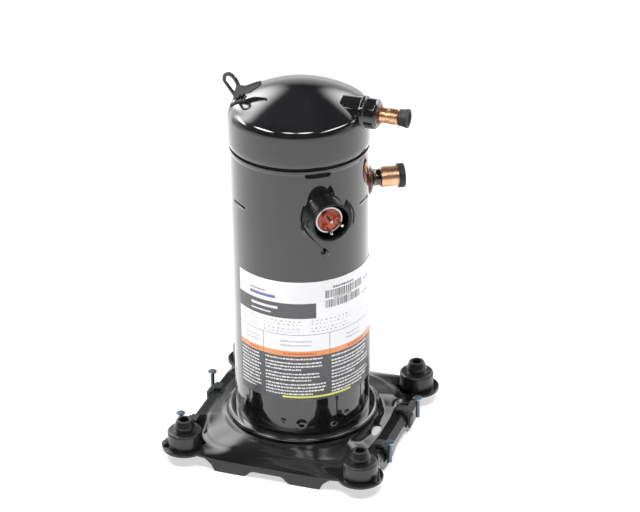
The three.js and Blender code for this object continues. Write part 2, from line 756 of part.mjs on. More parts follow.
addNode("terminal_fence", terminalFence(), BLACK_PAINT);
addOutward("terminal_ear", terminalEar(), BLACK_PAINT, TERMINAL_ANGLE, TERMINAL_Z);
addOutward("terminal_body", terminalBody(), STEEL, TERMINAL_ANGLE, TERMINAL_Z);
addOutward("terminal_insulator", terminalInsulator(), INSULATOR, TERMINAL_ANGLE, TERMINAL_Z);
pinSpots.forEach((spot, i) => {
  addOutward(`terminal_pin_${"abc"[i]}`, terminalPin(spot), STEEL, TERMINAL_ANGLE, TERMINAL_Z);
});
addNode("earth_strap", earthStrap(), BLACK_PLATE);
addOutward("earth_screw", earthScrew(), STEEL, EARTH_ANGLE, EARTH_Z);

for (const [corner, [x, y]] of Object.entries(CORNERS)) {
  addNode(`grommet_${corner}`, grommet(), RUBBER).position.set(MOUNT_HALF * x, MOUNT_HALF * y, 0);
}

// The pins stand just outside the side flanges, each with its clip beside it.
const RAIL_SPOTS = {
  fl: { x: -110.6, y: -68, clipY: -58 },
  fr: { x: 114.2, y: -55, clipY: -45 },
  rl: { x: -110.6, y: 23, clipY: 12 },
  rr: { x: 114.2, y: 39, clipY: 28 },
};
for (const [corner, { x, y, clipY }] of Object.entries(RAIL_SPOTS)) {
  addNode(`rail_pin_${corner}`, railPin(), PIN_STEEL).position.set(x, y, 0);
  const clip = addNode(`rail_clip_${corner}`, railClip(), CLIP_PLASTIC);
  clip.position.set(0, clipY, 0);
  clip.rotation.z = x < 0 ? Math.PI : 0;
}

addNode("fixed_scroll", fixedScroll(), CAST_IRON);
addNode("orbiting_scroll", orbitingScroll(), CAST_IRON);
addNode("oldham_ring", oldhamRing(), STEEL);
addNode("main_bearing_housing", mainBearingHousing(), CAST_IRON);
addNode("main_bearing_bush", tube(14, SHAFT_R + GAP, 214.5, 245.5), BRONZE);
addNode("drive_bush", driveBush(), BRONZE);
POST_ANGLES.forEach((angle, i) => addNode(`scroll_screw_${"abcd"[i]}`, scrollScrew(angle), STEEL));

addNode("crankshaft", crankshaft(), STEEL);
addNode("rotor_core", rotorCore(), LAMINATION);
addNode("upper_counterweight", counterweight(95, 265, 186, 200, 30, SHAFT_R + 0.4), CAST_IRON);
addNode("lower_counterweight", counterweight(-80, 80, 86, 99, 30, SHAFT_R + 0.4), CAST_IRON);
addNode("stator_core", statorCore(), LAMINATION);
addNode("winding_upper", windingHead(STATOR_TOP + GAP, 207), WINDING);
addNode("winding_lower", windingHead(79, STATOR_FOOT - GAP), WINDING);
addNode("lower_bearing_bracket", lowerBearingBracket(), STEEL);
addNode("lower_bearing_bush", tube(12.3, JOURNAL_R + GAP, 57.6, 73.6), BRONZE);
addNode("thrust_washer", tube(12, 4.4, 55.3, 57.3, 20), BRONZE);

addNode("muffler_plate", mufflerPlate(), STEEL);
addNode("floating_seal", floatingSeal(), SEAL);
addNode("check_valve_guide", valveGuide(), STEEL);
addNode("check_valve_disc", valveDisc(), STEEL);
addNode("suction_baffle", suctionBaffle(), STEEL);

export default group;
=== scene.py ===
"""Looks of the hermetic scroll compressor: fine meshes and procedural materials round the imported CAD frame.

Blender gets metres, and names that end in _Z are metres too. Outlines, rings, label heights and names that
end in _MM are millimetres. +Z is up, the front faces -Y, plan angles are degrees counter-clockwise from +X.
"""

import json
import math
import random

import bmesh
import bpy
from mathutils import Matrix, Vector


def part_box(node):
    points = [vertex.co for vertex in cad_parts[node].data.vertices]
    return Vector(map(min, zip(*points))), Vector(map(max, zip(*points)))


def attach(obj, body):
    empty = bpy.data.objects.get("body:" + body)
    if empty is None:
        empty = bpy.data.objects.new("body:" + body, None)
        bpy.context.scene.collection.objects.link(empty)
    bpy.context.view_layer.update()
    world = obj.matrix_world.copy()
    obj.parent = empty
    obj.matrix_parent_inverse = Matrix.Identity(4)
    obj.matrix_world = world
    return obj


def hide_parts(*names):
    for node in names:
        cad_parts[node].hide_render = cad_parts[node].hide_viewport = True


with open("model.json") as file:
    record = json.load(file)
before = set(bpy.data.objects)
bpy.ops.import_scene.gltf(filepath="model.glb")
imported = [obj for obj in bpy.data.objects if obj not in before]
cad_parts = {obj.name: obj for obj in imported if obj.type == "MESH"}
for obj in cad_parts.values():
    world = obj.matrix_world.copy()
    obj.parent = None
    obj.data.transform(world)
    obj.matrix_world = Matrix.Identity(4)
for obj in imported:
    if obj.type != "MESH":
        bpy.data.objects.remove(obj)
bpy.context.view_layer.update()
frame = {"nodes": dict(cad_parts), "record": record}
random.seed(7)

MM = 0.001


# ---------------------------------------------------------------- camera, floor and light

CAMERA_AZIMUTH = 19.5  # degrees from the front towards +X
CAMERA_ELEVATION = 27.5
CAMERA_ROLL = -0.58
CAMERA_DISTANCE = 2.781
CAMERA_LENS = 153.3
CAMERA_AIM_SIDE = 0.0196
CAMERA_AIM_HEIGHT = 0.2025
LIGHT_AIM_HEIGHT = 0.2
CARD_AIM_HEIGHT = 0.3
FLOOR_REACH = 16
FLOOR_DROP = 0.0004  # keeps the floor clear of the part's lowest faces

# Cards that the dome's shoulder reflects: azimuth from the camera, elevation, width, strength.
SHOULDER_CARDS = [
    (-112, 24, 0.8, 16),
    (-67, 43, 1.0, 24),
    (-20, 52, 0.5, 14),
    (12, 53, 0.6, 18),
    (67, 43, 1.4, 12),
    (118, 32, 1.1, 6),
]
SHOULDER_CARD_DISTANCE = 1.4
SHOULDER_CARD_HEIGHT = 0.26


def direction(azimuth, elevation):
    """Unit vector; azimuth 0 looks from the front, +90 from the +X side."""
    a, e = math.radians(azimuth), math.radians(elevation)
    return Vector((math.sin(a) * math.cos(e), -math.cos(a) * math.cos(e), math.sin(e)))


def placed(name, data):
    """A new object, linked to the scene."""
    item = bpy.data.objects.new(name, data)
    bpy.context.scene.collection.objects.link(item)
    return item


def axes_at(origin, x_axis, y_axis, z_axis):
    """Frame with the three unit vectors as its axes."""
    return Matrix.Translation(origin) @ Matrix((x_axis, y_axis, z_axis)).transposed().to_4x4()


def flat_sheet(name, half_width, half_height):
    corners = [(half_width * s, half_height * t, 0) for s, t in ((-1, -1), (1, -1), (1, 1), (-1, 1))]
    mesh = bpy.data.meshes.new(name)
    mesh.from_pydata(corners, [], [(0, 1, 2, 3)])
    return placed(name, mesh)


def new_material(name):
    material = bpy.data.materials.new(name)
    material.use_nodes = True
    return material


def set_inputs(node, values):
    for name, value in values.items():
        node.inputs[name].default_value = value


def add_node(tree, kind, values=None, **feeds):
    """A new shader node with its values set; each feed is an output linked to the input of that name."""
    node = tree.nodes.new(kind)
    set_inputs(node, values or {})
    for name, source in feeds.items():
        tree.links.new(source, node.inputs[name])
    return node


def set_ramp(node, positions, colors):
    """Places and colours the two ends of a colour ramp."""
    for element, position, color in zip(node.color_ramp.elements, positions, colors):
        element.position = position
        element.color = (*color, 1)


def add_camera():
    azimuth = math.radians(CAMERA_AZIMUTH)
    back = direction(CAMERA_AZIMUTH, CAMERA_ELEVATION)
    right = Vector((math.cos(azimuth), math.sin(azimuth), 0))
    turn = Matrix((right, back.cross(right), back)).transposed()
    roll = Matrix.Rotation(math.radians(CAMERA_ROLL), 3, back)
    aim = Vector((0, 0, CAMERA_AIM_HEIGHT)) + right * CAMERA_AIM_SIDE
    camera = placed("camera", bpy.data.cameras.new("camera"))
    camera.data.lens = CAMERA_LENS
    camera.data.sensor_width = 36
    camera.data.clip_end = 100
    camera.matrix_world = Matrix.Translation(aim + back * CAMERA_DISTANCE) @ (roll @ turn).to_4x4()
    bpy.context.scene.camera = camera


def add_softbox(name, azimuth, elevation, distance, size, watts):
    light = bpy.data.lights.new(name, "AREA")
    light.shape = "RECTANGLE"
    light.size, light.size_y = size
    light.energy = watts
    lamp = placed(name, light)
    towards = direction(azimuth, elevation)
    lamp.location = Vector((0, 0, LIGHT_AIM_HEIGHT)) + towards * distance
    lamp.rotation_euler = towards.to_track_quat("Z", "Y").to_euler()
    lamp.visible_camera = False
    lamp.visible_glossy = False


def add_card(name, azimuth, elevation, distance, size, strength):
    """A soft-edged glow that shows only in reflections; azimuth counts from the camera."""
    towards = direction(azimuth + CAMERA_AZIMUTH, elevation)
    side = Vector((0, 0, 1)).cross(towards).normalized()
    middle = Vector((0, 0, CARD_AIM_HEIGHT)) + towards * distance
    half_width, half_height = size[0] / 2, size[1] / 2
    card = flat_sheet(name, half_width, half_height)
    card.matrix_world = axes_at(middle, side, towards.cross(side), towards)
    card.data.materials.append(glow_material(name, strength, half_width, half_height))
    card.visible_camera = False
    card.visible_diffuse = False
    card.visible_shadow = False


def glow_material(name, strength, half_width, half_height):
    """Full strength in the middle, fading to nothing at the card's edge, where it lets the light through."""
    material = new_material(name)
    tree = material.node_tree
    tree.nodes.clear()
    place = add_node(tree, "ShaderNodeTexCoord")
    mapping = add_node(tree, "ShaderNodeMapping", {"Scale": (1 / half_width, 1 / half_height, 1)},
                       Vector=place.outputs["Object"])
    away = add_node(tree, "ShaderNodeVectorMath")
    away.operation = "LENGTH"
    tree.links.new(mapping.outputs[0], away.inputs[0])
    fade = add_node(tree, "ShaderNodeMapRange", {
        "From Min": 0.4,
        "From Max": 1.0,
        "To Min": 1.0,
        "To Max": 0.0,
    }, Value=away.outputs["Value"])
    fade.interpolation_type = "SMOOTHSTEP"
    glow = add_node(tree, "ShaderNodeEmission", {"Strength": strength})
    clear = add_node(tree, "ShaderNodeBsdfTransparent")
    mix = add_node(tree, "ShaderNodeMixShader")
    for slot, source in enumerate((fade.outputs["Result"], clear.outputs[0], glow.outputs[0])):
        tree.links.new(source, mix.inputs[slot])
    add_node(tree, "ShaderNodeOutputMaterial", Surface=mix.outputs[0])
    return material


def add_floor():
    floor = flat_sheet("floor", FLOOR_REACH, FLOOR_REACH)
    floor.location.z = -FLOOR_DROP
    material = new_material("floor_paper")
    set_inputs(material.node_tree.nodes["Principled BSDF"], {
        "Base Color": (0.5, 0.5, 0.51, 1),
        "Roughness": 0.9,
        "Emission Color": (1, 1, 1, 1),
        "Emission Strength": 0.62,
    })
    floor.data.materials.append(material)


def add_world():
    """Bright low down behind the object, dark above and in front."""
    world = bpy.data.worlds.new("studio")
    bpy.context.scene.world = world
    world.use_nodes = True
    tree = world.node_tree
    place = add_node(tree, "ShaderNodeTexCoord")
    split = add_node(tree, "ShaderNodeSeparateXYZ", Vector=place.outputs["Generated"])
    height = add_node(tree, "ShaderNodeValToRGB", Fac=split.outputs["Z"])
    set_ramp(height, (0.0, 0.42), [(0.95, 0.95, 0.97), (0.02, 0.02, 0.022)])
    height.color_ramp.elements.new(0.3).color = (0.42, 0.42, 0.43, 1)
    behind = add_node(tree, "ShaderNodeMapRange", {"From Min": -0.35, "From Max": 0.25, "To Min": 0.06},
                      Value=split.outputs["Y"])
    light = tree.nodes["Background"]
    tree.links.new(height.outputs["Color"], light.inputs["Color"])
    tree.links.new(behind.outputs["Result"], light.inputs["Strength"])


add_camera()
add_world()
add_floor()
add_softbox("softbox_left", -62, 62, 1.5, (0.85, 0.5), 26)
add_softbox("softbox_right", 45, 66, 1.5, (0.9, 0.45), 22)
add_softbox("fill_back", 160, 50, 2.2, (1.4, 0.9), 18)
add_card("card_left", -137, 0, 1.2, (0.5, 2.4), 1.6)
add_card("card_slope_left", -138, 28, 2.2, (3.0, 2.2), 4.6)
add_card("card_slope_right", 140, 28, 2.2, (2.4, 1.8), 3.6)
for number, (azimuth, elevation, width, strength) in enumerate(SHOULDER_CARDS):
    size = (width, SHOULDER_CARD_HEIGHT)
    add_card(f"shoulder_card_{number}", azimuth, elevation, SHOULDER_CARD_DISTANCE, size, strength)


# ---------------------------------------------------------------- mesh helpers

def new_piece(name, verts, faces, crease=35):
    mesh = bpy.data.meshes.new(name)
    mesh.from_pydata([tuple(v) for v in verts], [], faces)
    mesh.validate()
    piece = placed(name, mesh)
    smooth(piece, crease)
    return piece


def shade(mesh, crease):
    mesh.shade_smooth()
    mesh.set_sharp_from_angle(angle=math.radians(crease))


def smooth(piece, crease=35):
    """Joins doubled points and turns the faces outward."""
    shape = bmesh.new()
    shape.from_mesh(piece.data)
    bmesh.ops.remove_doubles(shape, verts=shape.verts, dist=1e-6)
    bmesh.ops.recalc_face_normals(shape, faces=shape.faces)
    shape.to_mesh(piece.data)
    shape.free()
    shade(piece.data, crease)


def full_turn(steps):
    return [2 * math.pi * k / steps for k in range(steps)]


def round_point(radius_mm, angle, height_mm):
    """Point in metres at a distance from an axis along +Z and an angle in radians."""
    return (radius_mm * MM * math.cos(angle), radius_mm * MM * math.sin(angle), height_mm * MM)


def tube_faces(rings, around, closed=False):
    """Quads between rings of points. A closed tube also joins its last ring to its first."""
    faces = []
    for i in range(rings if closed else rings - 1):
        j = (i + 1) % rings
        for k in range(around):
            n = (k + 1) % around
            faces.append((i * around + k, i * around + n, j * around + n, j * around + k))
    return faces


def capped_tube_faces(rings, around):
    last = (rings - 1) * around
    return tube_faces(rings, around) + [tuple(range(around)), tuple(range(last, last + around))]


def strip_faces(columns, first=0):
    """Quads of a strip whose points come in pairs."""
    return [(a, a + 2, a + 3, a + 1) for a in range(first, first + 2 * columns, 2)]


def softened(outline, radius, closed):
    """The outline with each corner turned into a short curve."""
    steps = 4
    points = []
    count = len(outline)
    for i, point in enumerate(outline):
        here = Vector(point)
        if not closed and i in (0, count - 1):
            points.append(here)
            continue
        before = Vector(outline[i - 1]) - here
        after = Vector(outline[(i + 1) % count]) - here
        start = here + before.normalized() * min(radius, before.length * 0.45)
        end = here + after.normalized() * min(radius, after.length * 0.45)
        for k in range(steps + 1):
            t = k / steps
            points.append(start * (1 - t) ** 2 + here * 2 * t * (1 - t) + end * t ** 2)
    return points


def lathe(name, outline_mm, soften_mm, segments, place=Matrix.Identity(4)):
    """A turned piece about +Z. An outline that starts on the axis ends on it, any other closes on itself."""
    closed = outline_mm[0][0] > 0
    points = softened(outline_mm, soften_mm, closed)
    verts = []
    for radius, height in points:
        verts += [place @ Vector(round_point(radius, angle, height)) for angle in full_turn(segments)]
    return new_piece(name, verts, tube_faces(len(points), segments, closed))


def plate(name, outline_mm, holes_mm, low_mm, high_mm, bevel_mm, place=Matrix.Identity(4)):
    """A flat plate with rounded edges from closed outlines."""
    curve = bpy.data.curves.new(name, "CURVE")
    curve.dimensions = "2D"
    curve.fill_mode = "BOTH"
    curve.extrude = (high_mm - low_mm) / 2 * MM - bevel_mm * MM
    curve.bevel_depth = bevel_mm * MM
    curve.bevel_resolution = 3
    curve.offset = -bevel_mm * MM
    for loop in [outline_mm, *holes_mm]:
        spline = curve.splines.new("POLY")
        spline.points.add(len(loop) - 1)
        for point, (x, y) in zip(spline.points, loop):
            point.co = (x * MM, y * MM, 0, 1)
        spline.use_cyclic_u = True
    maker = placed(name + "_maker", curve)
    mesh = evaluated_mesh(maker)
    bpy.data.objects.remove(maker)
    mesh.name = name
    mesh.transform(place @ Matrix.Translation((0, 0, (low_mm + high_mm) / 2 * MM)))
    piece = placed(name, mesh)
    smooth(piece)
    return piece


def evaluated_mesh(item):
    """The mesh of an object with its curve settings or modifiers applied."""
    bpy.context.view_layer.update()
    return bpy.data.meshes.new_from_object(item.evaluated_get(bpy.context.evaluated_depsgraph_get()))


def arc(radius, start, end, steps, middle=(0, 0)):
    """Points of an arc in degrees."""
    turns = [math.radians(start + (end - start) * k / steps) for k in range(steps + 1)]
    return [(middle[0] + radius * math.cos(t), middle[1] + radius * math.sin(t)) for t in turns]


def outward(degrees, height):
    """Frame on the shell's axis whose +Z points outward at a plan angle and whose +Y points up."""
    out = Vector((math.cos(math.radians(degrees)), math.sin(math.radians(degrees)), 0))
    up = Vector((0, 0, 1))
    return axes_at((0, 0, height), up.cross(out), up, out)


def merged(name, pieces):
    """One piece from several that overlap or touch."""
    shape = bmesh.new()
    for piece in pieces:
        shape.from_mesh(piece.data)
        bpy.data.objects.remove(piece)
    mesh = bpy.data.meshes.new(name)
    shape.to_mesh(mesh)
    shape.free()
    piece = placed(name, mesh)
    shade(mesh, 35)
    return piece


def dress(piece, nodes, material, body="housing"):
    """Puts a piece on its body, in place of its CAD nodes, in its material."""
    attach(piece, body)
    if nodes:
        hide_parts(*nodes)
    piece.data.materials.clear()
    piece.data.materials.append(material)


def smoothstep(low, high, value):
    t = min(1.0, max(0.0, (value - low) / (high - low)))
    return t * t * (3 - 2 * t)


def lerp(a, b, share):
    return a + (b - a) * share


# ---------------------------------------------------------------- materials

def surface(name, colors, roughness, metallic=0.0, grain=60.0, stretch=(1, 1, 1), turn=0.0, bump=0.05,
            bump_scale=400.0, coat=0.0, coat_roughness=0.05, specular=0.5, specks=0.0):
    """Procedural finish: two mottled colours, uneven roughness, a fine bump and optional dust specks."""
    material = new_material(name)
    tree = material.node_tree
    shader = tree.nodes["Principled BSDF"]
    set_inputs(shader, {
        "Metallic": metallic,
        "Coat Weight": coat,
        "Coat Roughness": coat_roughness,
        "Specular IOR Level": specular,
    })
    place = add_node(tree, "ShaderNodeTexCoord")
    mapping = add_node(tree, "ShaderNodeMapping", {
        "Rotation": (0, 0, math.radians(turn)),
        "Scale": [1 / s for s in stretch],
    }, Vector=place.outputs["Object"])
    mapping.vector_type = "TEXTURE"

    mottle = add_node(tree, "ShaderNodeTexNoise", {"Scale": grain, "Detail": 5, "Roughness": 0.6},
                      Vector=mapping.outputs[0])
    ramp = add_node(tree, "ShaderNodeValToRGB", Fac=mottle.outputs["Fac"])
    set_ramp(ramp, (0.35, 0.65), colors)
    base = ramp.outputs["Color"]

    if specks:
        dust = add_node(tree, "ShaderNodeTexNoise", {"Scale": 900, "Detail": 2},
                        Vector=place.outputs["Object"])
        spot = add_node(tree, "ShaderNodeMapRange", {"From Min": 0.72, "From Max": 0.78, "To Max": specks},
                        Value=dust.outputs["Fac"])
        blend = add_node(tree, "ShaderNodeMix")
        blend.data_type = "RGBA"
        set_inputs(blend, {"B": (0.3, 0.3, 0.3, 1)})
        tree.links.new(spot.outputs["Result"], blend.inputs["Factor"])
        tree.links.new(base, blend.inputs["A"])
        base = blend.outputs["Result"]
    tree.links.new(base, shader.inputs["Base Color"])

    uneven = add_node(tree, "ShaderNodeMapRange", {
        "From Min": 0.3,
        "From Max": 0.7,
        "To Min": roughness[0],
        "To Max": roughness[1],
    }, Value=mottle.outputs["Fac"])
    tree.links.new(uneven.outputs["Result"], shader.inputs["Roughness"])

    fine = add_node(tree, "ShaderNodeTexNoise", {"Scale": bump_scale, "Detail": 3}, Vector=mapping.outputs[0])
    relief = add_node(tree, "ShaderNodeBump", {"Strength": bump, "Distance": 0.0004},
                      Height=fine.outputs["Fac"])
    tree.links.new(relief.outputs["Normal"], shader.inputs["Normal"])
    return material


SUCTION_ANGLE = 30

shell_paint = surface("shell_paint", [(0.006, 0.006, 0.0065), (0.011, 0.011, 0.012)], (0.07, 0.12), grain=18,
                      bump=0.06, bump_scale=160, coat=1.0, coat_roughness=0.03, specks=0.2)
plate_paint = surface("plate_paint", [(0.006, 0.006, 0.0065), (0.014, 0.014, 0.015)], (0.12, 0.2), grain=30,
                      bump=0.1, bump_scale=160, coat=0.5, coat_roughness=0.08, specular=0.25, specks=0.3)
guard_paint = surface("guard_paint", [(0.003, 0.003, 0.003), (0.006, 0.006, 0.006)], (0.2, 0.32), grain=60,
                      bump=0.1, bump_scale=300, coat=0.25, coat_roughness=0.08, specular=0.25)
# Matte near-black for the weld bead, and for the painted shade patches in the slots.
seam_and_shade_paint = surface("seam_and_shade_paint", [(0.003, 0.003, 0.003), (0.006, 0.006, 0.006)], (0.55, 0.7), grain=60,
                     bump=0.3, bump_scale=400, specular=0.2)
bare_paint = surface("bare_paint", [(0.02, 0.02, 0.02), (0.06, 0.06, 0.058)], (0.13, 0.24), grain=90,
                        metallic=0.7, bump=0.2, bump_scale=260, coat=1.0, coat_roughness=0.06, specks=0.3)
rubber = surface("grommet_rubber", [(0.006, 0.006, 0.0065), (0.012, 0.012, 0.0125)], (0.3, 0.4), grain=120,
                 bump=0.2, bump_scale=900, coat=0.3, coat_roughness=0.2, specks=0.35)
cap_rubber = surface("cap_rubber", [(0.010, 0.010, 0.011), (0.02, 0.02, 0.021)], (0.42, 0.55), grain=150,
                     bump=0.3, bump_scale=900, specks=0.3)
copper_x = surface("copper_drawn_x", [(0.94, 0.60, 0.36), (0.70, 0.34, 0.16)], (0.24, 0.44), metallic=1,
                   grain=160, stretch=(3.2, 1, 1), bump=0.5, bump_scale=300)
copper_y = surface("copper_drawn_y", [(0.96, 0.58, 0.38), (0.84, 0.42, 0.24)], (0.3, 0.42), metallic=1,
                   grain=90, stretch=(5, 0.5, 0.5), turn=SUCTION_ANGLE, bump=0.2, bump_scale=260)
steel = surface("machined_steel", [(0.5, 0.5, 0.51), (0.62, 0.62, 0.63)], (0.2, 0.35), metallic=1, grain=120,
                bump=0.1, bump_scale=700)
pin_steel = surface("pin_steel", [(0.10, 0.14, 0.18), (0.16, 0.21, 0.26)], (0.25, 0.4), metallic=0.8,
                    grain=200, bump=0.2, bump_scale=900)
clip_plastic = surface("clip_plastic", [(0.012, 0.015, 0.014), (0.03, 0.034, 0.03)], (0.35, 0.5), grain=150,
                       bump=0.2, bump_scale=800)
insulator = surface("insulator", [(0.50, 0.07, 0.03), (0.66, 0.13, 0.055)], (0.3, 0.5), grain=260, bump=0.3,
                    bump_scale=700, coat=0.3)
cast_iron = surface("cast_iron", [(0.10, 0.10, 0.10), (0.18, 0.18, 0.18)], (0.5, 0.7), metallic=0.8,
                    grain=200, bump=0.6, bump_scale=900)
lamination = surface("lamination", [(0.22, 0.23, 0.25), (0.34, 0.35, 0.37)], (0.35, 0.5), metallic=0.9,
                     grain=40, stretch=(1, 1, 40), bump=0.5, bump_scale=60)
winding = surface("winding", [(0.30, 0.09, 0.03), (0.50, 0.18, 0.07)], (0.3, 0.45), metallic=0.6, grain=60,
                  stretch=(1, 1, 6), bump=0.7, bump_scale=250)
bronze = surface("bronze", [(0.50, 0.36, 0.16), (0.62, 0.46, 0.22)], (0.25, 0.4), metallic=1, grain=120)
seal_polymer = surface("seal_polymer", [(0.03, 0.025, 0.025), (0.06, 0.05, 0.05)], (0.4, 0.6), grain=200)
label_film = surface("label_film", [(0.90, 0.90, 0.91), (0.94, 0.94, 0.95)], (0.28, 0.36), grain=40,
                     bump=0.05, bump_scale=200, coat=0.25, coat_roughness=0.1)


def ink(name, color, other):
    return surface(name, [color, other], (0.3, 0.4), grain=80, bump=0.05, bump_scale=300, coat=0.25,
                   coat_roughness=0.1)


ink_grey = ink("ink_grey", (0.075, 0.076, 0.08), (0.095, 0.096, 0.10))
ink_panel = ink("ink_panel", (0.065, 0.066, 0.07), (0.085, 0.086, 0.09))
ink_orange = ink("ink_orange", (0.86, 0.30, 0.10), (0.93, 0.36, 0.14))
ink_faint = ink("ink_faint", (0.42, 0.42, 0.44), (0.5, 0.5, 0.52))
ink_blue = ink("ink_blue", (0.12, 0.13, 0.36), (0.18, 0.19, 0.44))
ink_white = ink("ink_white", (0.78, 0.78, 0.78), (0.84, 0.84, 0.84))
ink_yellow = ink("ink_yellow", (0.74, 0.76, 0.12), (0.82, 0.84, 0.2))
weld_scale = surface("weld_scale", [(0.16, 0.055, 0.025), (0.03, 0.012, 0.008)], (0.25, 0.45), metallic=0.6,
                     grain=220, bump=0.8, bump_scale=500, coat=0.4)

SLOT_LOOKS = {
    "shell_paint": shell_paint, "plate_paint": plate_paint, "label_film": label_film, "copper": copper_y,
    "grommet_rubber": rubber, "cap_rubber": cap_rubber, "steel": steel, "pin_steel": pin_steel,
    "clip_plastic": clip_plastic, "insulator": insulator, "cast_iron": cast_iron, "lamination": lamination,
    "winding": winding, "bronze": bronze, "seal": seal_polymer,
}
for entry in frame["record"]["subparts"]:
    node_mesh = frame["nodes"][entry["node"]].data
    node_mesh.materials.clear()
    node_mesh.materials.append(SLOT_LOOKS[entry["material_slot"]])


# ---------------------------------------------------------------- sizes from the frame

def size_mm(node):
    low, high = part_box(node)
    return [v / MM for v in low], [v / MM for v in high]


def middle_z(node):
    low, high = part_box(node)
    return (low.z + high.z) / 2


shell_low, shell_high = size_mm("center_shell")
cap_low, cap_high = size_mm("top_cap")
label_low, label_high = size_mm("label")
ring_low, ring_high = size_mm("bottom_cap")
DATUM_MM = 5.0  # the CAD's heights count from this far above the rim tabs
CAP_R_MM = cap_high[0]
SHELL_R_MM = CAP_R_MM - 1.65
SHELL_TOP_MM = shell_high[2]
CAP_LIP_MM = cap_low[2]
CAP_TOP_MM = cap_high[2]
KNUCKLE_MM = (12, 360 + DATUM_MM)  # rounding between wall and crown, and the height where it starts
KNUCKLE_LEFT_MM = (19, 355 + DATUM_MM)  # softer on the left, under the lifting bracket
DISCHARGE_Z = middle_z("discharge_stub")
SUCTION_Z = middle_z("suction_stub")
TERMINAL_ANGLE = -50.5
TERMINAL_Z = middle_z("terminal_body")
EARTH_ANGLE = -50
EARTH_Z = middle_z("earth_screw")


# ---------------------------------------------------------------- pressure shell

SHELL_WALL_MM = 3
FLARE_MM = 0.8  # how far the shell widens at its top edge
SLOT_HALF_HEIGHT_MM = 1.7
SLOT_DEPTH_MM = 2.4
# Half height and depth below the shell face of the matte black patches in the slots, which are painted shade.
SLOT_SHADE_HALF_MM = 1.45
SLOT_SHADE_DEPTH_MM = 1.3
SLOTS = [(-55, 320.4, 25), (-130.5, 274, 22), (-3, 274, 22)]  # plan angle, height above the datum, length
DIMPLES = [(-86.7, 42.6, 2.8), (-71.4, 40.4, 5), (-43, 38, 5), (-30, 44, 2.8)]  # plan angle, height, radius
DIMPLE_DEPTH_SHARE = 0.34


def recess(degrees, height_mm):
    """Depth of the pressed slots and dimples at a point of the shell."""
    depth = 0
    for angle, z, length in SLOTS:
        along = abs((degrees - angle) * math.pi / 180 * SHELL_R_MM)
        beyond = max(0, along - (length / 2 - SLOT_HALF_HEIGHT_MM))
        away = math.hypot(beyond, height_mm - z - DATUM_MM)
        slope = smoothstep(SLOT_HALF_HEIGHT_MM * 0.55, SLOT_HALF_HEIGHT_MM * 1.25, away)
        depth = max(depth, SLOT_DEPTH_MM * (1 - slope))
    for angle, z, radius in DIMPLES:
        along = (degrees - angle) * math.pi / 180 * SHELL_R_MM
        away = math.hypot(along, height_mm - z - DATUM_MM)
        slope = smoothstep(radius * 0.2, radius * 1.1, away)
        depth = max(depth, radius * DIMPLE_DEPTH_SHARE * (1 - slope))
    return depth


def shell_rows():
    """Heights of the shell's rows, close together where it has recesses."""
    slot_heights = SLOTS[:2]  # the third slot is level with the second
    busy = [(z + DATUM_MM - 4, z + DATUM_MM + 4, 0.45) for _, z, _ in slot_heights]
    busy.append((DATUM_MM + 30, DATUM_MM + 52, 0.8))
    rows, height = [], shell_low[2]
    while height < SHELL_TOP_MM - 5:
        rows.append(height)
        step = 6
        for low, high, fine in busy:
            if low <= height < high:
                step = fine
            elif height < low < height + step:
                step = low - height
        height += step
    return rows + [SHELL_TOP_MM - below for below in (5, 4.2, 3.4, 2.6, 1, 0)]


def build_shell():
    rows = shell_rows()
    columns = 480
    turns = [360 * k / columns - 180 for k in range(columns)]
    verts = []
    for height in rows:
        flare = FLARE_MM * smoothstep(SHELL_TOP_MM - 5, SHELL_TOP_MM - 2.4, height)
        for degrees in turns:
            radius = SHELL_R_MM + flare - recess(degrees, height)
            verts.append(round_point(radius, math.radians(degrees), height))
    for height in (rows[-1], rows[0]):
        verts += [round_point(SHELL_R_MM - SHELL_WALL_MM, math.radians(degrees), height) for degrees in turns]
    piece = new_piece("shell_tube", verts, tube_faces(len(rows) + 2, columns, True), 50)
    dress(piece, ["center_shell"], shell_paint)


def build_slot_shade_patches():
    """Dull, matte black patch lying inside each staked slot, above its floor: painted shade in the recess."""
    columns = 24
    for number, (middle, z, length) in enumerate(SLOTS):
        verts = []
        reach = math.degrees((length / 2 - 0.6) / SHELL_R_MM)
        for k in range(columns + 1):
            share = 2 * k / columns - 1
            angle = math.radians(middle + share * reach)
            half = SLOT_SHADE_HALF_MM * (1 - abs(share) ** 12)
            for height in (z + DATUM_MM - half, z + DATUM_MM + half):
                verts.append(round_point(SHELL_R_MM - SLOT_SHADE_DEPTH_MM, angle, height))
        piece = new_piece(f"slot_shade_patch_{number}", verts, strip_faces(columns), 60)
        dress(piece, [], seam_and_shade_paint)


def dome_profile(degrees):
    """Knuckle radius, shoulder height, crown radius and the reach where they run tangent, at a plan angle."""
    left = smoothstep(105, 165, abs((degrees + 180) % 360 - 180))
    knuckle = lerp(KNUCKLE_MM[0], KNUCKLE_LEFT_MM[0], left)
    shoulder = lerp(KNUCKLE_MM[1], KNUCKLE_LEFT_MM[1], left)
    rise = CAP_TOP_MM - shoulder
    middle = CAP_R_MM - knuckle
    crown = (rise ** 2 + middle ** 2 - knuckle ** 2) / (2 * (rise - knuckle))
    return knuckle, shoulder, crown, middle * crown / (crown - knuckle)


def dome_height(reach, degrees):
    """Height of the dome's outer face at a distance from the axis."""
    knuckle, shoulder, crown, tangent = dome_profile(degrees)
    if reach < tangent:
        return CAP_TOP_MM - crown + math.sqrt(crown ** 2 - reach ** 2)
    return shoulder + math.sqrt(max(0.0, knuckle ** 2 - (reach - CAP_R_MM + knuckle) ** 2))


CAP_WALL_MM = 3.2
WELD_HALF_WIDTH_MM = 1.1
WELD_HALF_HEIGHT_MM = 1.6


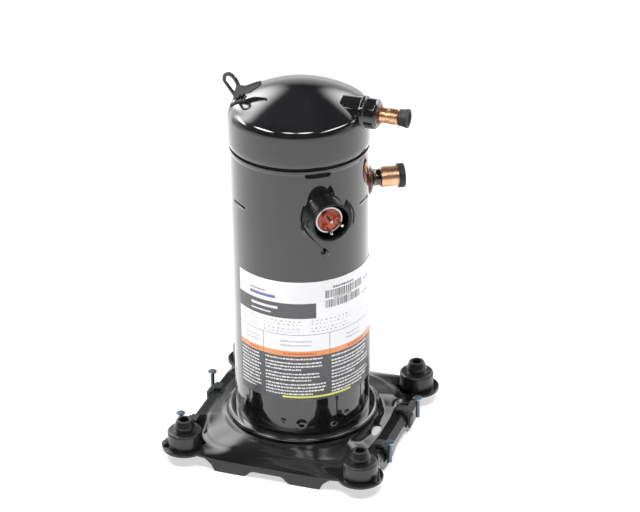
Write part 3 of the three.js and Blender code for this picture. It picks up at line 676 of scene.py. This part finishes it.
def build_top_cap():
    segments = 160
    steps = 60
    knuckle_steps = 24
    lip = [(CAP_R_MM - 1.6, CAP_LIP_MM), (CAP_R_MM - 0.5, CAP_LIP_MM + 0.15), (CAP_R_MM, CAP_LIP_MM + 0.9),
           (CAP_R_MM, CAP_LIP_MM + 6)]
    turns = [360 * k / segments for k in range(segments)]
    verts = []
    for radius, height in lip:
        verts += [round_point(radius, math.radians(degrees), height) for degrees in turns]
    for step in range(steps):
        for degrees in turns:
            knuckle, _, _, tangent = dome_profile(degrees)
            if step < knuckle_steps:
                last = math.acos((tangent - CAP_R_MM + knuckle) / knuckle)
                reach = CAP_R_MM - knuckle + knuckle * math.cos(last * step / knuckle_steps)
            else:
                reach = tangent * (1 - (step - knuckle_steps) / (steps - knuckle_steps))
            verts.append(round_point(reach, math.radians(degrees), dome_height(reach, degrees)))
    rings = len(lip) + steps
    faces = tube_faces(rings, segments)
    top_ring = (rings - 1) * segments
    apex = len(verts)
    verts.append((0, 0, CAP_TOP_MM * MM))
    under = len(verts)
    verts += [round_point(CAP_R_MM - CAP_WALL_MM, math.radians(degrees), CAP_LIP_MM) for degrees in turns]
    for k in range(segments):
        n = (k + 1) % segments
        faces.append((top_ring + k, top_ring + n, apex))
        faces.append((under + k, under + n, n, k))
    piece = new_piece("dome_cap", verts, faces, 60)
    dress(piece, ["top_cap"], shell_paint)


def build_seam_weld():
    """Uneven weld bead in the groove between the shell and the cap."""
    segments = 360
    around = 8
    middle = (SHELL_TOP_MM + CAP_LIP_MM) / 2
    verts = []
    for angle in full_turn(segments):
        ripple = random.uniform(-0.05, 0.05)
        for turn in full_turn(around):
            radius = SHELL_R_MM - 1.0 + (WELD_HALF_WIDTH_MM + ripple) * math.cos(turn)
            height = middle + (WELD_HALF_HEIGHT_MM + ripple) * math.sin(turn)
            verts.append(round_point(radius, angle, height))
    piece = new_piece("seam_weld", verts, tube_faces(segments, around, True), 80)
    dress(piece, [], seam_and_shade_paint)


def build_bottom_ring():
    outer = ring_high[0]
    inner = SHELL_R_MM - SHELL_WALL_MM
    above_datum = [(50, 9.6), (64, 13.5), (69.6, 21), (76.4, 21.2), (outer, 22.3), (outer, 25), (76.0, 26.3),
                   (inner, 26.6), (inner, 21.5), (60.5, 15.4), (0, 12)]
    outline = [(0, ring_low[2]), *((radius, height + DATUM_MM) for radius, height in above_datum)]
    piece = lathe("bottom_rim", outline, 1.1, 160)
    dress(piece, ["bottom_cap"], bare_paint)


build_shell()
build_slot_shade_patches()
build_top_cap()
build_seam_weld()
build_bottom_ring()


# ---------------------------------------------------------------- base plate

PLATE_T_MM = 3
EAR_TOP_MM = 10.5
EAR_R_MM = 24
MOUNT_HALF_MM = 95.25  # half the spacing of the four grommets
CORNERS = ("fl", "fr", "rl", "rr")
WINDOW_MIDDLE_MM = (84, -8)
WINDOW_HALF_MM = (3.8, 11.4)
FINGER_START_MM = 72  # how far forward the side rails' fingers start
# Half sizes along X and Y, exponent, heights of the upper face towards front, right, corner and left.
RINGS = [
    (70.5, 70.5, 2, 20.6, 20.6, 20.6, 20.6),
    (79.5, 79.5, 2, 20.6, 20.6, 20.6, 20.6),
    (83.5, 84, 2.2, 19.2, 12, 18, 19),
    (89.5, 92, 3, 16.4, 10, 14, 18),
    (92.5, 100, 4, 13.4, 16.4, EAR_TOP_MM, 17.3),
    (103, 107.5, 5, 10.8, 17, EAR_TOP_MM, 17),
    (108, 112, 6, 8.8, 10, EAR_TOP_MM, 10),
]


def ring_radius(ring, angle):
    x = abs(math.cos(angle) / ring[0]) ** ring[2]
    y = abs(math.sin(angle) / ring[1]) ** ring[2]
    return (x + y) ** (-1 / ring[2])


def ring_height(ring, angle):
    steep = math.degrees(math.atan2(abs(math.sin(angle)), abs(math.cos(angle))))
    side = 1 - smoothstep(24, 39, steep)
    front = smoothstep(50, 66, steep)
    beside = ring[6] if math.cos(angle) < 0 else ring[4]
    return ring[5] + (beside - ring[5]) * side + (ring[3] - ring[5]) * front


def flange_foot(x, y):
    along = min(abs(x), abs(y))
    tab = smoothstep(15, 25, along) * (1 - smoothstep(57, 61, along))
    return lerp(lerp(2, -DATUM_MM, tab), EAR_TOP_MM - PLATE_T_MM, smoothstep(60, 68, along))


def plate_surface():
    """Upper face of the pressed sheet with its rim flange running downward, not yet thickened."""
    segments = 240
    fine = []
    for i in range(len(RINGS) - 1):
        steps = 4 if i else 2
        for k in range(steps):
            fine.append((i, k / steps))
    verts = []
    for i, share in fine + [(len(RINGS) - 2, 1)]:
        for angle in full_turn(segments):
            before, after = RINGS[i], RINGS[i + 1]
            radius = lerp(ring_radius(before, angle), ring_radius(after, angle), share)
            rounded = smoothstep(0, 1, share) if i in (1, 3) else share
            height = lerp(ring_height(before, angle), ring_height(after, angle), rounded)
            verts.append([radius * math.cos(angle), radius * math.sin(angle), height])
    rim = verts[-segments:]
    for drop in (0.25, 0.6, 1):
        for x, y, z in rim:
            verts.append([x, y, lerp(z, min(z - 0.5, flange_foot(x, y)), drop)])
    lifted = [(x * MM, y * MM, (z + DATUM_MM) * MM) for x, y, z in verts]
    return new_piece("plate_surface", lifted, tube_faces(len(verts) // segments, segments), 60)


def apply_modifiers(piece):
    mesh = evaluated_mesh(piece)
    piece.modifiers.clear()
    piece.data = mesh


def cut(piece, cutters):
    for cutter in cutters:
        modifier = piece.modifiers.new("cut", "BOOLEAN")
        modifier.operation = "DIFFERENCE"
        modifier.solver = "EXACT"
        modifier.object = cutter
    apply_modifiers(piece)
    for cutter in cutters:
        bpy.data.objects.remove(cutter)
    shade(piece.data, 38)
    return piece


def build_base_plate():
    sheet = plate_surface()
    thick = sheet.modifiers.new("thick", "SOLIDIFY")
    thick.thickness = (PLATE_T_MM - 0.3) * MM
    thick.offset = -1
    thick.use_even_offset = False
    apply_modifiers(sheet)
    low, high = EAR_TOP_MM - PLATE_T_MM, EAR_TOP_MM
    outline = [(WINDOW_MIDDLE_MM[0] + WINDOW_HALF_MM[0] * math.cos(t),
                WINDOW_MIDDLE_MM[1] + WINDOW_HALF_MM[1] * math.sin(t)) for t in full_turn(32)]
    cut(sheet, [plate("window", outline, [], DATUM_MM, 45, 0.01)])
    parts = [sheet]
    for sx in (-1, 1):
        for sy in (-1, 1):
            hub = Matrix.Translation((sx * MOUNT_HALF_MM * MM, sy * MOUNT_HALF_MM * MM, DATUM_MM * MM))
            ear = [(12.5, low), (EAR_R_MM, low), (EAR_R_MM, high), (12.5, high)]
            parts.append(lathe(f"ear_{sx}_{sy}", ear, 0.9, 64, hub))
    for side in (-1, 1):
        tip = arc(5, -5, 175, 12, (114, 101))
        outline = [(x * side, -y) for x, y in [*tip, (98.5, FINGER_START_MM), (106.5, FINGER_START_MM)]]
        finger = plate(f"finger_{side}", outline, [], low + 0.6 + DATUM_MM, high + 2.4 + DATUM_MM, 0.9)
        slit = [(-1.6, -9), (1.6, -9), (1.6, 9), (-1.6, 9)]
        lean = Matrix.Rotation(math.radians(18 * side), 4, "Z")
        turn = Matrix.Translation((108.2 * side * MM, -114 * MM, 0)) @ lean
        parts.append(cut(finger, [plate(f"slit_{side}", slit, [], 0, 40, 0.01, turn)]))
    piece = merged("base_pressing", parts)
    dress(piece, ["base_plate"], plate_paint)


build_base_plate()


# ---------------------------------------------------------------- grommets, pins and clips

def hub_under(node):
    """Frame on the datum under the middle of a CAD node."""
    low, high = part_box(node)
    middle = (low + high) / 2
    return Matrix.Translation((middle.x, middle.y, DATUM_MM * MM))


def build_grommets():
    outline = [(5, 3.6), (14, 3.6), (15, 7.2), (12.2, 7.2), (12.2, 10.8), (18, 10.8), (18, 26.5), (16.6, 28),
               (9.4, 28), (11, 32.4), (8, 40), (5, 40)]
    for corner in CORNERS:
        node = f"grommet_{corner}"
        piece = lathe(f"rubber_mount_{corner}", outline, 0.9, 96, hub_under(node))
        dress(piece, [node], rubber)


def build_pins():
    outline = [(0, 5), (2.1, 6.5), (2.1, 28.4), (4.8, 28.6), (4.8, 29.9), (0, 30.2)]
    rim = [(4.2, 28.9), (4.85, 29.0), (4.85, 29.7), (4.2, 29.95)]
    for corner in CORNERS:
        node = f"rail_pin_{corner}"
        hub = hub_under(node)
        piece = lathe(f"headed_pin_{corner}", outline, 0.35, 40, hub)
        dress(piece, [node], pin_steel)
        edge = lathe(f"pin_rim_{corner}", rim, 0.1, 40, hub)
        dress(edge, [], steel)


def build_clips():
    half_length = 5.5
    outline = [(95.5, 17.6), (103.5, 17.6), (108.9, 10.6), (108.9, 1), (111.3, 1), (111.3, 13.6),
               (108.9, 13.8), (109.1, 16.4), (106.7, 16.6), (106.9, 19.2), (104.5, 19.4), (103.5, 21.4),
               (95.5, 21)]
    for corner in CORNERS:
        node = f"rail_clip_{corner}"
        middle = hub_under(node).translation
        side = 1 if middle.x > 0 else -1
        upright = axes_at((0, middle.y, middle.z), (side, 0, 0), (0, 0, 1), (0, side, 0))
        piece = plate(f"toothed_clip_{corner}", outline, [], -half_length, half_length, 0.35, upright)
        dress(piece, [node], clip_plastic)


build_grommets()
build_pins()
build_clips()


# ---------------------------------------------------------------- ports

def build_discharge():
    place = outward(0, DISCHARGE_Z)
    boss = [(6, 46), (15.2, 46), (15.2, 81.6), (12.6, 84.3), (8.6, 84.3), (8.6, 78), (6, 78)]
    fitting = lathe("discharge_boss", boss, 0.7, 96, place)
    dress(fitting, ["discharge_fitting"], shell_paint)
    bead = lathe("discharge_braze", [(8.0, 83.9), (10.6, 84.1), (9.2, 85.6), (8.0, 86.4)], 0.6, 64, place)
    dress(bead, [], weld_scale)
    collar = lathe("discharge_weld", [(14.6, 66), (17.2, 67.6), (17.0, 70.6), (14.6, 72.4)], 0.8, 64, place)
    dress(collar, [], shell_paint)
    stub = lathe("discharge_tube", [(6.2, 78.4), (7.9, 78.4), (7.9, 88), (7.3, 92), (8.1, 97), (7.7, 101),
                                    (7.8, 104.6), (6.2, 104.6)], 1.6, 96, place)
    dress(stub, ["discharge_stub"], copper_x)
    stopper = [(0, 96), (5.8, 96), (5.8, 104.9), (8.4, 104.9), (8.6, 109), (9.6, 113.4), (9.5, 114.6),
               (7.2, 114.6), (6.6, 112.8), (0, 112.4)]
    plug = lathe("discharge_stopper", stopper, 0.5, 96, place)
    dress(plug, ["discharge_plug"], cap_rubber, "discharge_plug")


def build_suction():
    place = outward(SUCTION_ANGLE, SUCTION_Z)
    collar = [(6.8, 63), (16, 66), (15.4, 71.6), (11, 74), (8.6, 77), (8.3, 80), (8.3, 89), (6.8, 89)]
    flare = lathe("suction_collar", collar, 1.2, 96, place)
    dress(flare, ["suction_fitting"], shell_paint)
    bead = lathe("suction_braze", [(12.5, 67), (17.4, 67.4), (16.6, 70.4), (13.5, 72.8)], 0.8, 96, place)
    dress(bead, [], weld_scale)
    stub = lathe("suction_tube", [(8.6, 83), (9.8, 82), (10.5, 83), (10.5, 102.2), (9.3, 102.2), (9.3, 86),
                                  (8.6, 85)], 0.3, 96, place)
    dress(stub, ["suction_stub"], copper_y)
    cap = lathe("suction_stopper", [(0, 96), (9, 96), (9, 102.5), (10.8, 102.5), (10.8, 100.6), (12.5, 100.6),
                                    (12.5, 107), (9, 107.4), (0, 107.2)], 0.6, 96, place)
    dress(cap, ["suction_cap"], cap_rubber, "suction_cap")


build_discharge()
build_suction()


# ---------------------------------------------------------------- lifting bracket

BRACKET_DEPTH_MM = (17.5, 21)  # how far in front of the axis the eye and the wing stand


def quadratic(start, handle, end):
    """Points of a curve, without its start."""
    steps = 8
    points = []
    for k in range(1, steps + 1):
        t = k / steps
        bend = (start[i] * (1 - t) ** 2 + handle[i] * 2 * t * (1 - t) + end[i] * t ** 2 for i in (0, 1))
        points.append(tuple(bend))
    return points


def build_bracket():
    """Leaning eye on the left and a wing with a hooked tip on the right."""
    eye = [(-53.5, 377), (-54.5, 390)]
    eye += quadratic((-54.5, 390), (-60, 402), (-67, 401.2))
    eye += quadratic((-67, 401.2), (-74, 400), (-72.6, 391))
    eye += [(-62, 376.5), (-62, 355), (-53.5, 355)]
    opening = [(-60.5, 381), (-69.2, 391.5)]
    opening += quadratic((-69.2, 391.5), (-69.8, 397), (-66, 397.2))
    opening += quadratic((-66, 397.2), (-61.5, 396), (-58.4, 388))
    wing = [(-57, 377), (-42.6, 382.6), (-31.4, 392.4), (-32.6, 396.8), (-36.5, 395.4), (-49, 389.4),
            (-57, 388.6)]
    upright = axes_at((0, 0, DATUM_MM * MM), (1, 0, 0), (0, 0, 1), (0, -1, 0))
    parts = [
        plate("bracket_eye", eye, [opening], *BRACKET_DEPTH_MM, 1.6, upright),
        plate("bracket_wing", wing, [], *BRACKET_DEPTH_MM, 1.2, upright),
    ]
    piece = merged("lifting_lug", [*parts, bracket_foot()])
    dress(piece, ["lifting_bracket"], shell_paint)


def bracket_foot():
    """Pad that follows the dome under the eye."""
    rows, columns = 12, 14
    verts, faces = [], []
    for lift in (3.4, 0.0):
        for i in range(rows):
            for k in range(columns):
                x = lerp(-63.5, -51, i / (rows - 1))
                y = lerp(-25, -14.2, k / (columns - 1))
                rounding = 0 if min(i, rows - 1 - i, k, columns - 1 - k) else 0.8
                z = dome_height(math.hypot(x, y), math.degrees(math.atan2(y, x))) + max(0, lift - rounding)
                verts.append((x * MM, y * MM, z * MM))
    layer = rows * columns
    for i in range(rows - 1):
        for k in range(columns - 1):
            a = i * columns + k
            faces.append((a, a + 1, a + columns + 1, a + columns))
            faces.append((layer + a, layer + a + columns, layer + a + columns + 1, layer + a + 1))
    border = list(range(columns)) + [i * columns + columns - 1 for i in range(1, rows)]
    border += [(rows - 1) * columns + k for k in range(columns - 2, -1, -1)]
    border += [i * columns for i in range(rows - 2, 0, -1)]
    for a, b in zip(border, border[1:] + border[:1]):
        faces.append((a, b, layer + b, layer + a))
    return new_piece("bracket_foot", verts, faces, 50)


build_bracket()


# ---------------------------------------------------------------- electrical terminal

def guard_rings():
    """Shallow grooves rolled round the guard's outside."""
    points = []
    for step in range(5):
        foot = 72.5 + step * 3.4
        points += [(20.4, foot), (19.7, foot + 0.9), (20.4, foot + 1.8)]
    return points


def swept_back(piece, place):
    """Leans a flat ring sector back into a cone and stands it on the shell."""
    for vertex in piece.data.vertices:
        reach = math.hypot(vertex.co.x, vertex.co.y) / MM
        vertex.co.z += (3.6 - (reach - 20.8) * 4 / 5.8) * MM
        vertex.co = place @ vertex.co
    return piece


def build_terminal():
    place = outward(TERMINAL_ANGLE, TERMINAL_Z)
    wall = [(18, 62), (21.4, 62), (21.4, 68), (20.4, 71), *guard_rings(), (20.4, 92), (18, 92)]
    fence = lathe("terminal_guard", wall, 0.9, 96, place)
    dress(fence, ["terminal_fence"], guard_paint)
    ear = arc(26.6, -26, 48, 24) + arc(20.8, 48, -26, 20)
    slot = arc(24.6, -14, 26, 12) + arc(23.2, 26, -14, 12)
    guard_ear = swept_back(plate("guard_ear", ear, [slot], 85.2, 87.4, 0.4), place)
    dress(guard_ear, ["terminal_ear"], guard_paint)
    cup = [(12.3, 60), (13.5, 60), (13.5, 64), (15.8, 64), (15.8, 72), (14, 74), (14, 84.6), (12.3, 84.6)]
    body = lathe("terminal_cup", cup, 0.5, 96, place)
    dress(body, ["terminal_body"], guard_paint)
    rim = lathe("terminal_cup_rim", [(12.0, 83.0), (14.15, 83.2), (14.1, 84.8), (12.1, 84.9)], 0.4, 96, place)
    dress(rim, [], steel)
    build_insulator(place)


def build_insulator(place):
    pin_circle = 7.4
    collar = [(0, 80), (3, 80), (3, 86.6), (2.4, 88.5), (0, 88.5)]
    pin = [(0, 58.5), (1.5, 58.5), (1.5, 101.4), (0.9, 102.5), (0, 102.5)]
    parts = [lathe("disc", [(0, 80), (12, 80), (12, 83.4), (10.8, 83.8), (0, 84.2)], 0.5, 64, place)]
    for letter, degrees in zip("abc", (0, 120, 240)):
        hub = place @ Matrix.Translation(round_point(pin_circle, math.radians(degrees), 0))
        parts.append(lathe(f"collar_{letter}", collar, 0.5, 32, hub))
        piece = lathe(f"power_pin_{letter}", pin, 0.3, 24, hub)
        dress(piece, [f"terminal_pin_{letter}"], steel)
    dress(merged("glass_insulator", parts), ["terminal_insulator"], insulator)


def smooth_path(path):
    """Points of a curve through all points of the path."""
    steps = 10
    fine = []
    for i in range(len(path) - 1):
        p0, p1 = path[max(0, i - 1)], path[i]
        p2, p3 = path[i + 1], path[min(len(path) - 1, i + 2)]
        for k in range(steps):
            t = k / steps
            fine.append(0.5 * (2 * p1 + (p2 - p0) * t + (2 * p0 - 5 * p1 + 4 * p2 - p3) * t ** 2
                               + (3 * p1 - p0 - 3 * p2 + p3) * t ** 3))
    return [*fine, path[-1]]


def build_earth():
    """Flat strip from the guard's left side to a ring lug under a screw."""
    half_width, half_thickness = 1.3 * MM, 0.5 * MM
    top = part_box("earth_strap")[1].z / MM
    foot = EARTH_Z / MM
    route = [(86, -66.5, top - 0.6), (79, -69, top - 11), (74, -66, top - 22), (72.2, -58.5, top - 34),
             (71.5, -52, foot + 3)]  # distance from the axis, plan angle, height
    fine = smooth_path([Vector(round_point(r, math.radians(a), z)) for r, a, z in route])
    verts = []
    for i, point in enumerate(fine):
        ahead = (fine[min(i + 1, len(fine) - 1)] - fine[max(i - 1, 0)]).normalized()
        out = Vector((point.x, point.y, 0)).normalized()
        side = ahead.cross(out).normalized() * half_width
        thick = side.cross(ahead).normalized() * half_thickness
        for s, t in ((-1, -1), (1, -1), (1, 1), (-1, 1)):
            verts.append(point + side * s + thick * t)
    strip = new_piece("strip", verts, capped_tube_faces(len(fine), 4), 30)
    place = outward(EARTH_ANGLE, EARTH_Z)
    lug = lathe("lug", [(1.6, 70.2), (4, 70.2), (4, 71.8), (1.6, 71.8)], 0.3, 40, place)
    piece = merged("earth_tail", [strip, lug])
    dress(piece, ["earth_strap"], bare_paint)
    head = [(0, 70.3), (1.2, 70.3), (1.2, 72.1), (3.6, 72.1), (3.6, 73.6), (2.4, 74.6), (0, 74.6)]
    screw = lathe("earth_screw_head", head, 0.3, 40, place)
    dress(screw, ["earth_screw"], shell_paint)


build_terminal()
build_earth()


# ---------------------------------------------------------------- label

LABEL_LEFT = -131
LABEL_RIGHT = 22
LABEL_LOW = label_low[2]
LABEL_HIGH = label_high[2]
FILM_LIFT_MM = 0.62
FIELD_LIFT_MM = 0.03
PRINT_LIFT_MM = 0.07


class Printing:
    """Patches of one ink on the film, each bent round the shell."""

    def __init__(self, name, lift_mm):
        self.name = name
        self.radius_mm = SHELL_R_MM + FILM_LIFT_MM + lift_mm
        self.verts = []
        self.faces = []

    def patch(self, left, right, low, high):
        columns = max(1, math.ceil((right - left) / 3))
        self.faces += strip_faces(columns, len(self.verts))
        for k in range(columns + 1):
            angle = math.radians(lerp(left, right, k / columns))
            self.verts += [round_point(self.radius_mm, angle, height) for height in (low, high)]

    def words(self, left, right, low, high, shortest, longest, gap):
        """A line of print: blocks of uneven length, some a little lower than the others."""
        spot = left
        while spot < right:
            length = min(random.uniform(shortest, longest), right - spot)
            self.patch(spot, spot + length, low, high - random.choice((0, 0, 0.18)) * (high - low))
            spot += length + gap

    def finish(self, material):
        mesh = bpy.data.meshes.new(self.name)
        mesh.from_pydata(self.verts, [], self.faces)
        mesh.shade_smooth()
        dress(placed(self.name, mesh), [], material)


def build_film():
    columns = 120
    section = [(SHELL_R_MM + 0.3, LABEL_LOW), (SHELL_R_MM + FILM_LIFT_MM, LABEL_LOW + 0.2),
               (SHELL_R_MM + FILM_LIFT_MM, LABEL_HIGH - 0.2), (SHELL_R_MM + 0.3, LABEL_HIGH)]
    verts = []
    for k in range(columns + 1):
        angle = math.radians(lerp(LABEL_LEFT, LABEL_RIGHT, k / columns))
        verts += [round_point(radius, angle, height) for radius, height in section]
    film = new_piece("label_sheet", verts, capped_tube_faces(columns + 1, len(section)), 30)
    dress(film, ["label"], label_film)


COLUMN_EDGES = [-103.5, -46.5]  # the two dividers between the label's three columns
STRIPE_LOW = 124.6
STRIPE_HIGH = 130.4
BOX_HIGH = 149
BAR_LOW = 168
BAR_HIGH = 185
BAR_RIGHT = -58


def build_label_panels():
    panels = [
        ("label_bar", BAR_RIGHT, BAR_LOW, BAR_HIGH, ink_grey),
        ("label_panel", LABEL_RIGHT, LABEL_LOW + 0.2, STRIPE_LOW, ink_panel),
        ("label_stripe", LABEL_RIGHT, STRIPE_LOW, STRIPE_HIGH, ink_orange),
    ]
    for name, right, low, high, color in panels:
        field = Printing(name, FIELD_LIFT_MM)
        field.patch(LABEL_LEFT, right, low, high)
        field.finish(color)


def build_label_lines():
    lines = Printing("label_rules", PRINT_LIFT_MM)
    lines.patch(LABEL_LEFT, LABEL_RIGHT, BOX_HIGH, BOX_HIGH + 0.45)
    for edge in COLUMN_EDGES:
        lines.patch(edge - 0.2, edge + 0.2, STRIPE_LOW - 4, BOX_HIGH)
    lines.finish(ink_grey)
    faint = Printing("label_faint_print", PRINT_LIFT_MM)
    for height in (164.5, 161, 156, 152.5):
        faint.words(-124, -110, height, height + 0.9, 0.8, 2.0, 1.6)
        faint.words(-103, -70, height - 0.6, height + 0.6, 0.8, 2.4, 2.2)
        faint.words(-62, -26, height, height + 1.2, 0.8, 2.6, 2.0)
    for left, right in ((-122, -108), (-88, -62), (-30, -14)):
        for height in (141, 136.4):
            faint.words(left, right, height, height + 1.6, 0.8, 2.2, 0.7)
    faint.finish(ink_faint)


def build_label_marks():
    """Plain bars where a name would stand, and two rows of upright bars."""
    blue = Printing("label_mark", PRINT_LIFT_MM)
    blue.patch(-117, -92, 189.4, 192.6)
    blue.patch(-117, -101, 195.4, 196.6)
    blue.finish(ink_blue)
    white = Printing("label_bar_print", PRINT_LIFT_MM)
    white.patch(-115.5, -90, 177.6, 180.6)
    white.patch(-115.5, -96, 172.2, 173.8)
    white.finish(ink_white)
    bars = Printing("label_bars", PRINT_LIFT_MM)
    for low, high, left, right in ((189, 197.5, -50, -12), (178, 186.5, -50, -14)):
        spot = left
        while spot < right:
            width = random.choice((0.35, 0.5, 0.8, 1.1))
            bars.patch(spot, spot + width, low, high)
            spot += width + random.choice((0.4, 0.6, 0.9))
    bars.words(-43, -22, 199, 201.4, 0.9, 1.6, 0.5)
    bars.words(-43, -24, 187.3, 188.4, 0.9, 1.6, 0.5)
    bars.words(-6, 2, 192, 194, 0.8, 1.4, 0.8)
    bars.words(-10, 0, 178, 179.4, 0.8, 1.4, 0.8)
    bars.finish(ink_grey)


def build_label_text():
    orange = Printing("label_stripe_print", PRINT_LIFT_MM)
    for left, right in ((-119, -108), (-86, -58), (-29, -8)):
        orange.words(left, right, 126.4, 128.6, 1.4, 2.4, 0.4)
    orange.finish(ink("ink_rust", (0.55, 0.13, 0.03), (0.6, 0.16, 0.05)))
    white = Printing("label_panel_print", PRINT_LIFT_MM)
    columns = ((-129.5, -105.5, 21), (-102, -48.5, 31), (-45, 2, 26))
    for number, (left, right, rows) in enumerate(columns):
        height = STRIPE_LOW - 4.2
        for row in range(11):
            if row in (1, 4, 7) and number:
                height -= 1.3
            short = random.uniform(0.5, 1.0) if row in (3, 6, 10) else random.uniform(0.86, 1.0)
            white.words(left, left + (right - left) * short, height, height + 1.8, 0.9, 3.4, 0.55)
            height -= 3.7 if number else 3.9
    white.words(-127, -112, LABEL_LOW + 9, LABEL_LOW + 10, 1.0, 2.4, 0.5)
    white.finish(ink_white)
    yellow = Printing("label_yellow_print", PRINT_LIFT_MM)
    yellow.patch(-87, -26, LABEL_LOW + 3.0, LABEL_LOW + 5.2)
    yellow.finish(ink_yellow)


build_film()
build_label_panels()
build_label_lines()
build_label_marks()
build_label_text()


bpy.context.scene.view_settings.view_transform = "Standard"
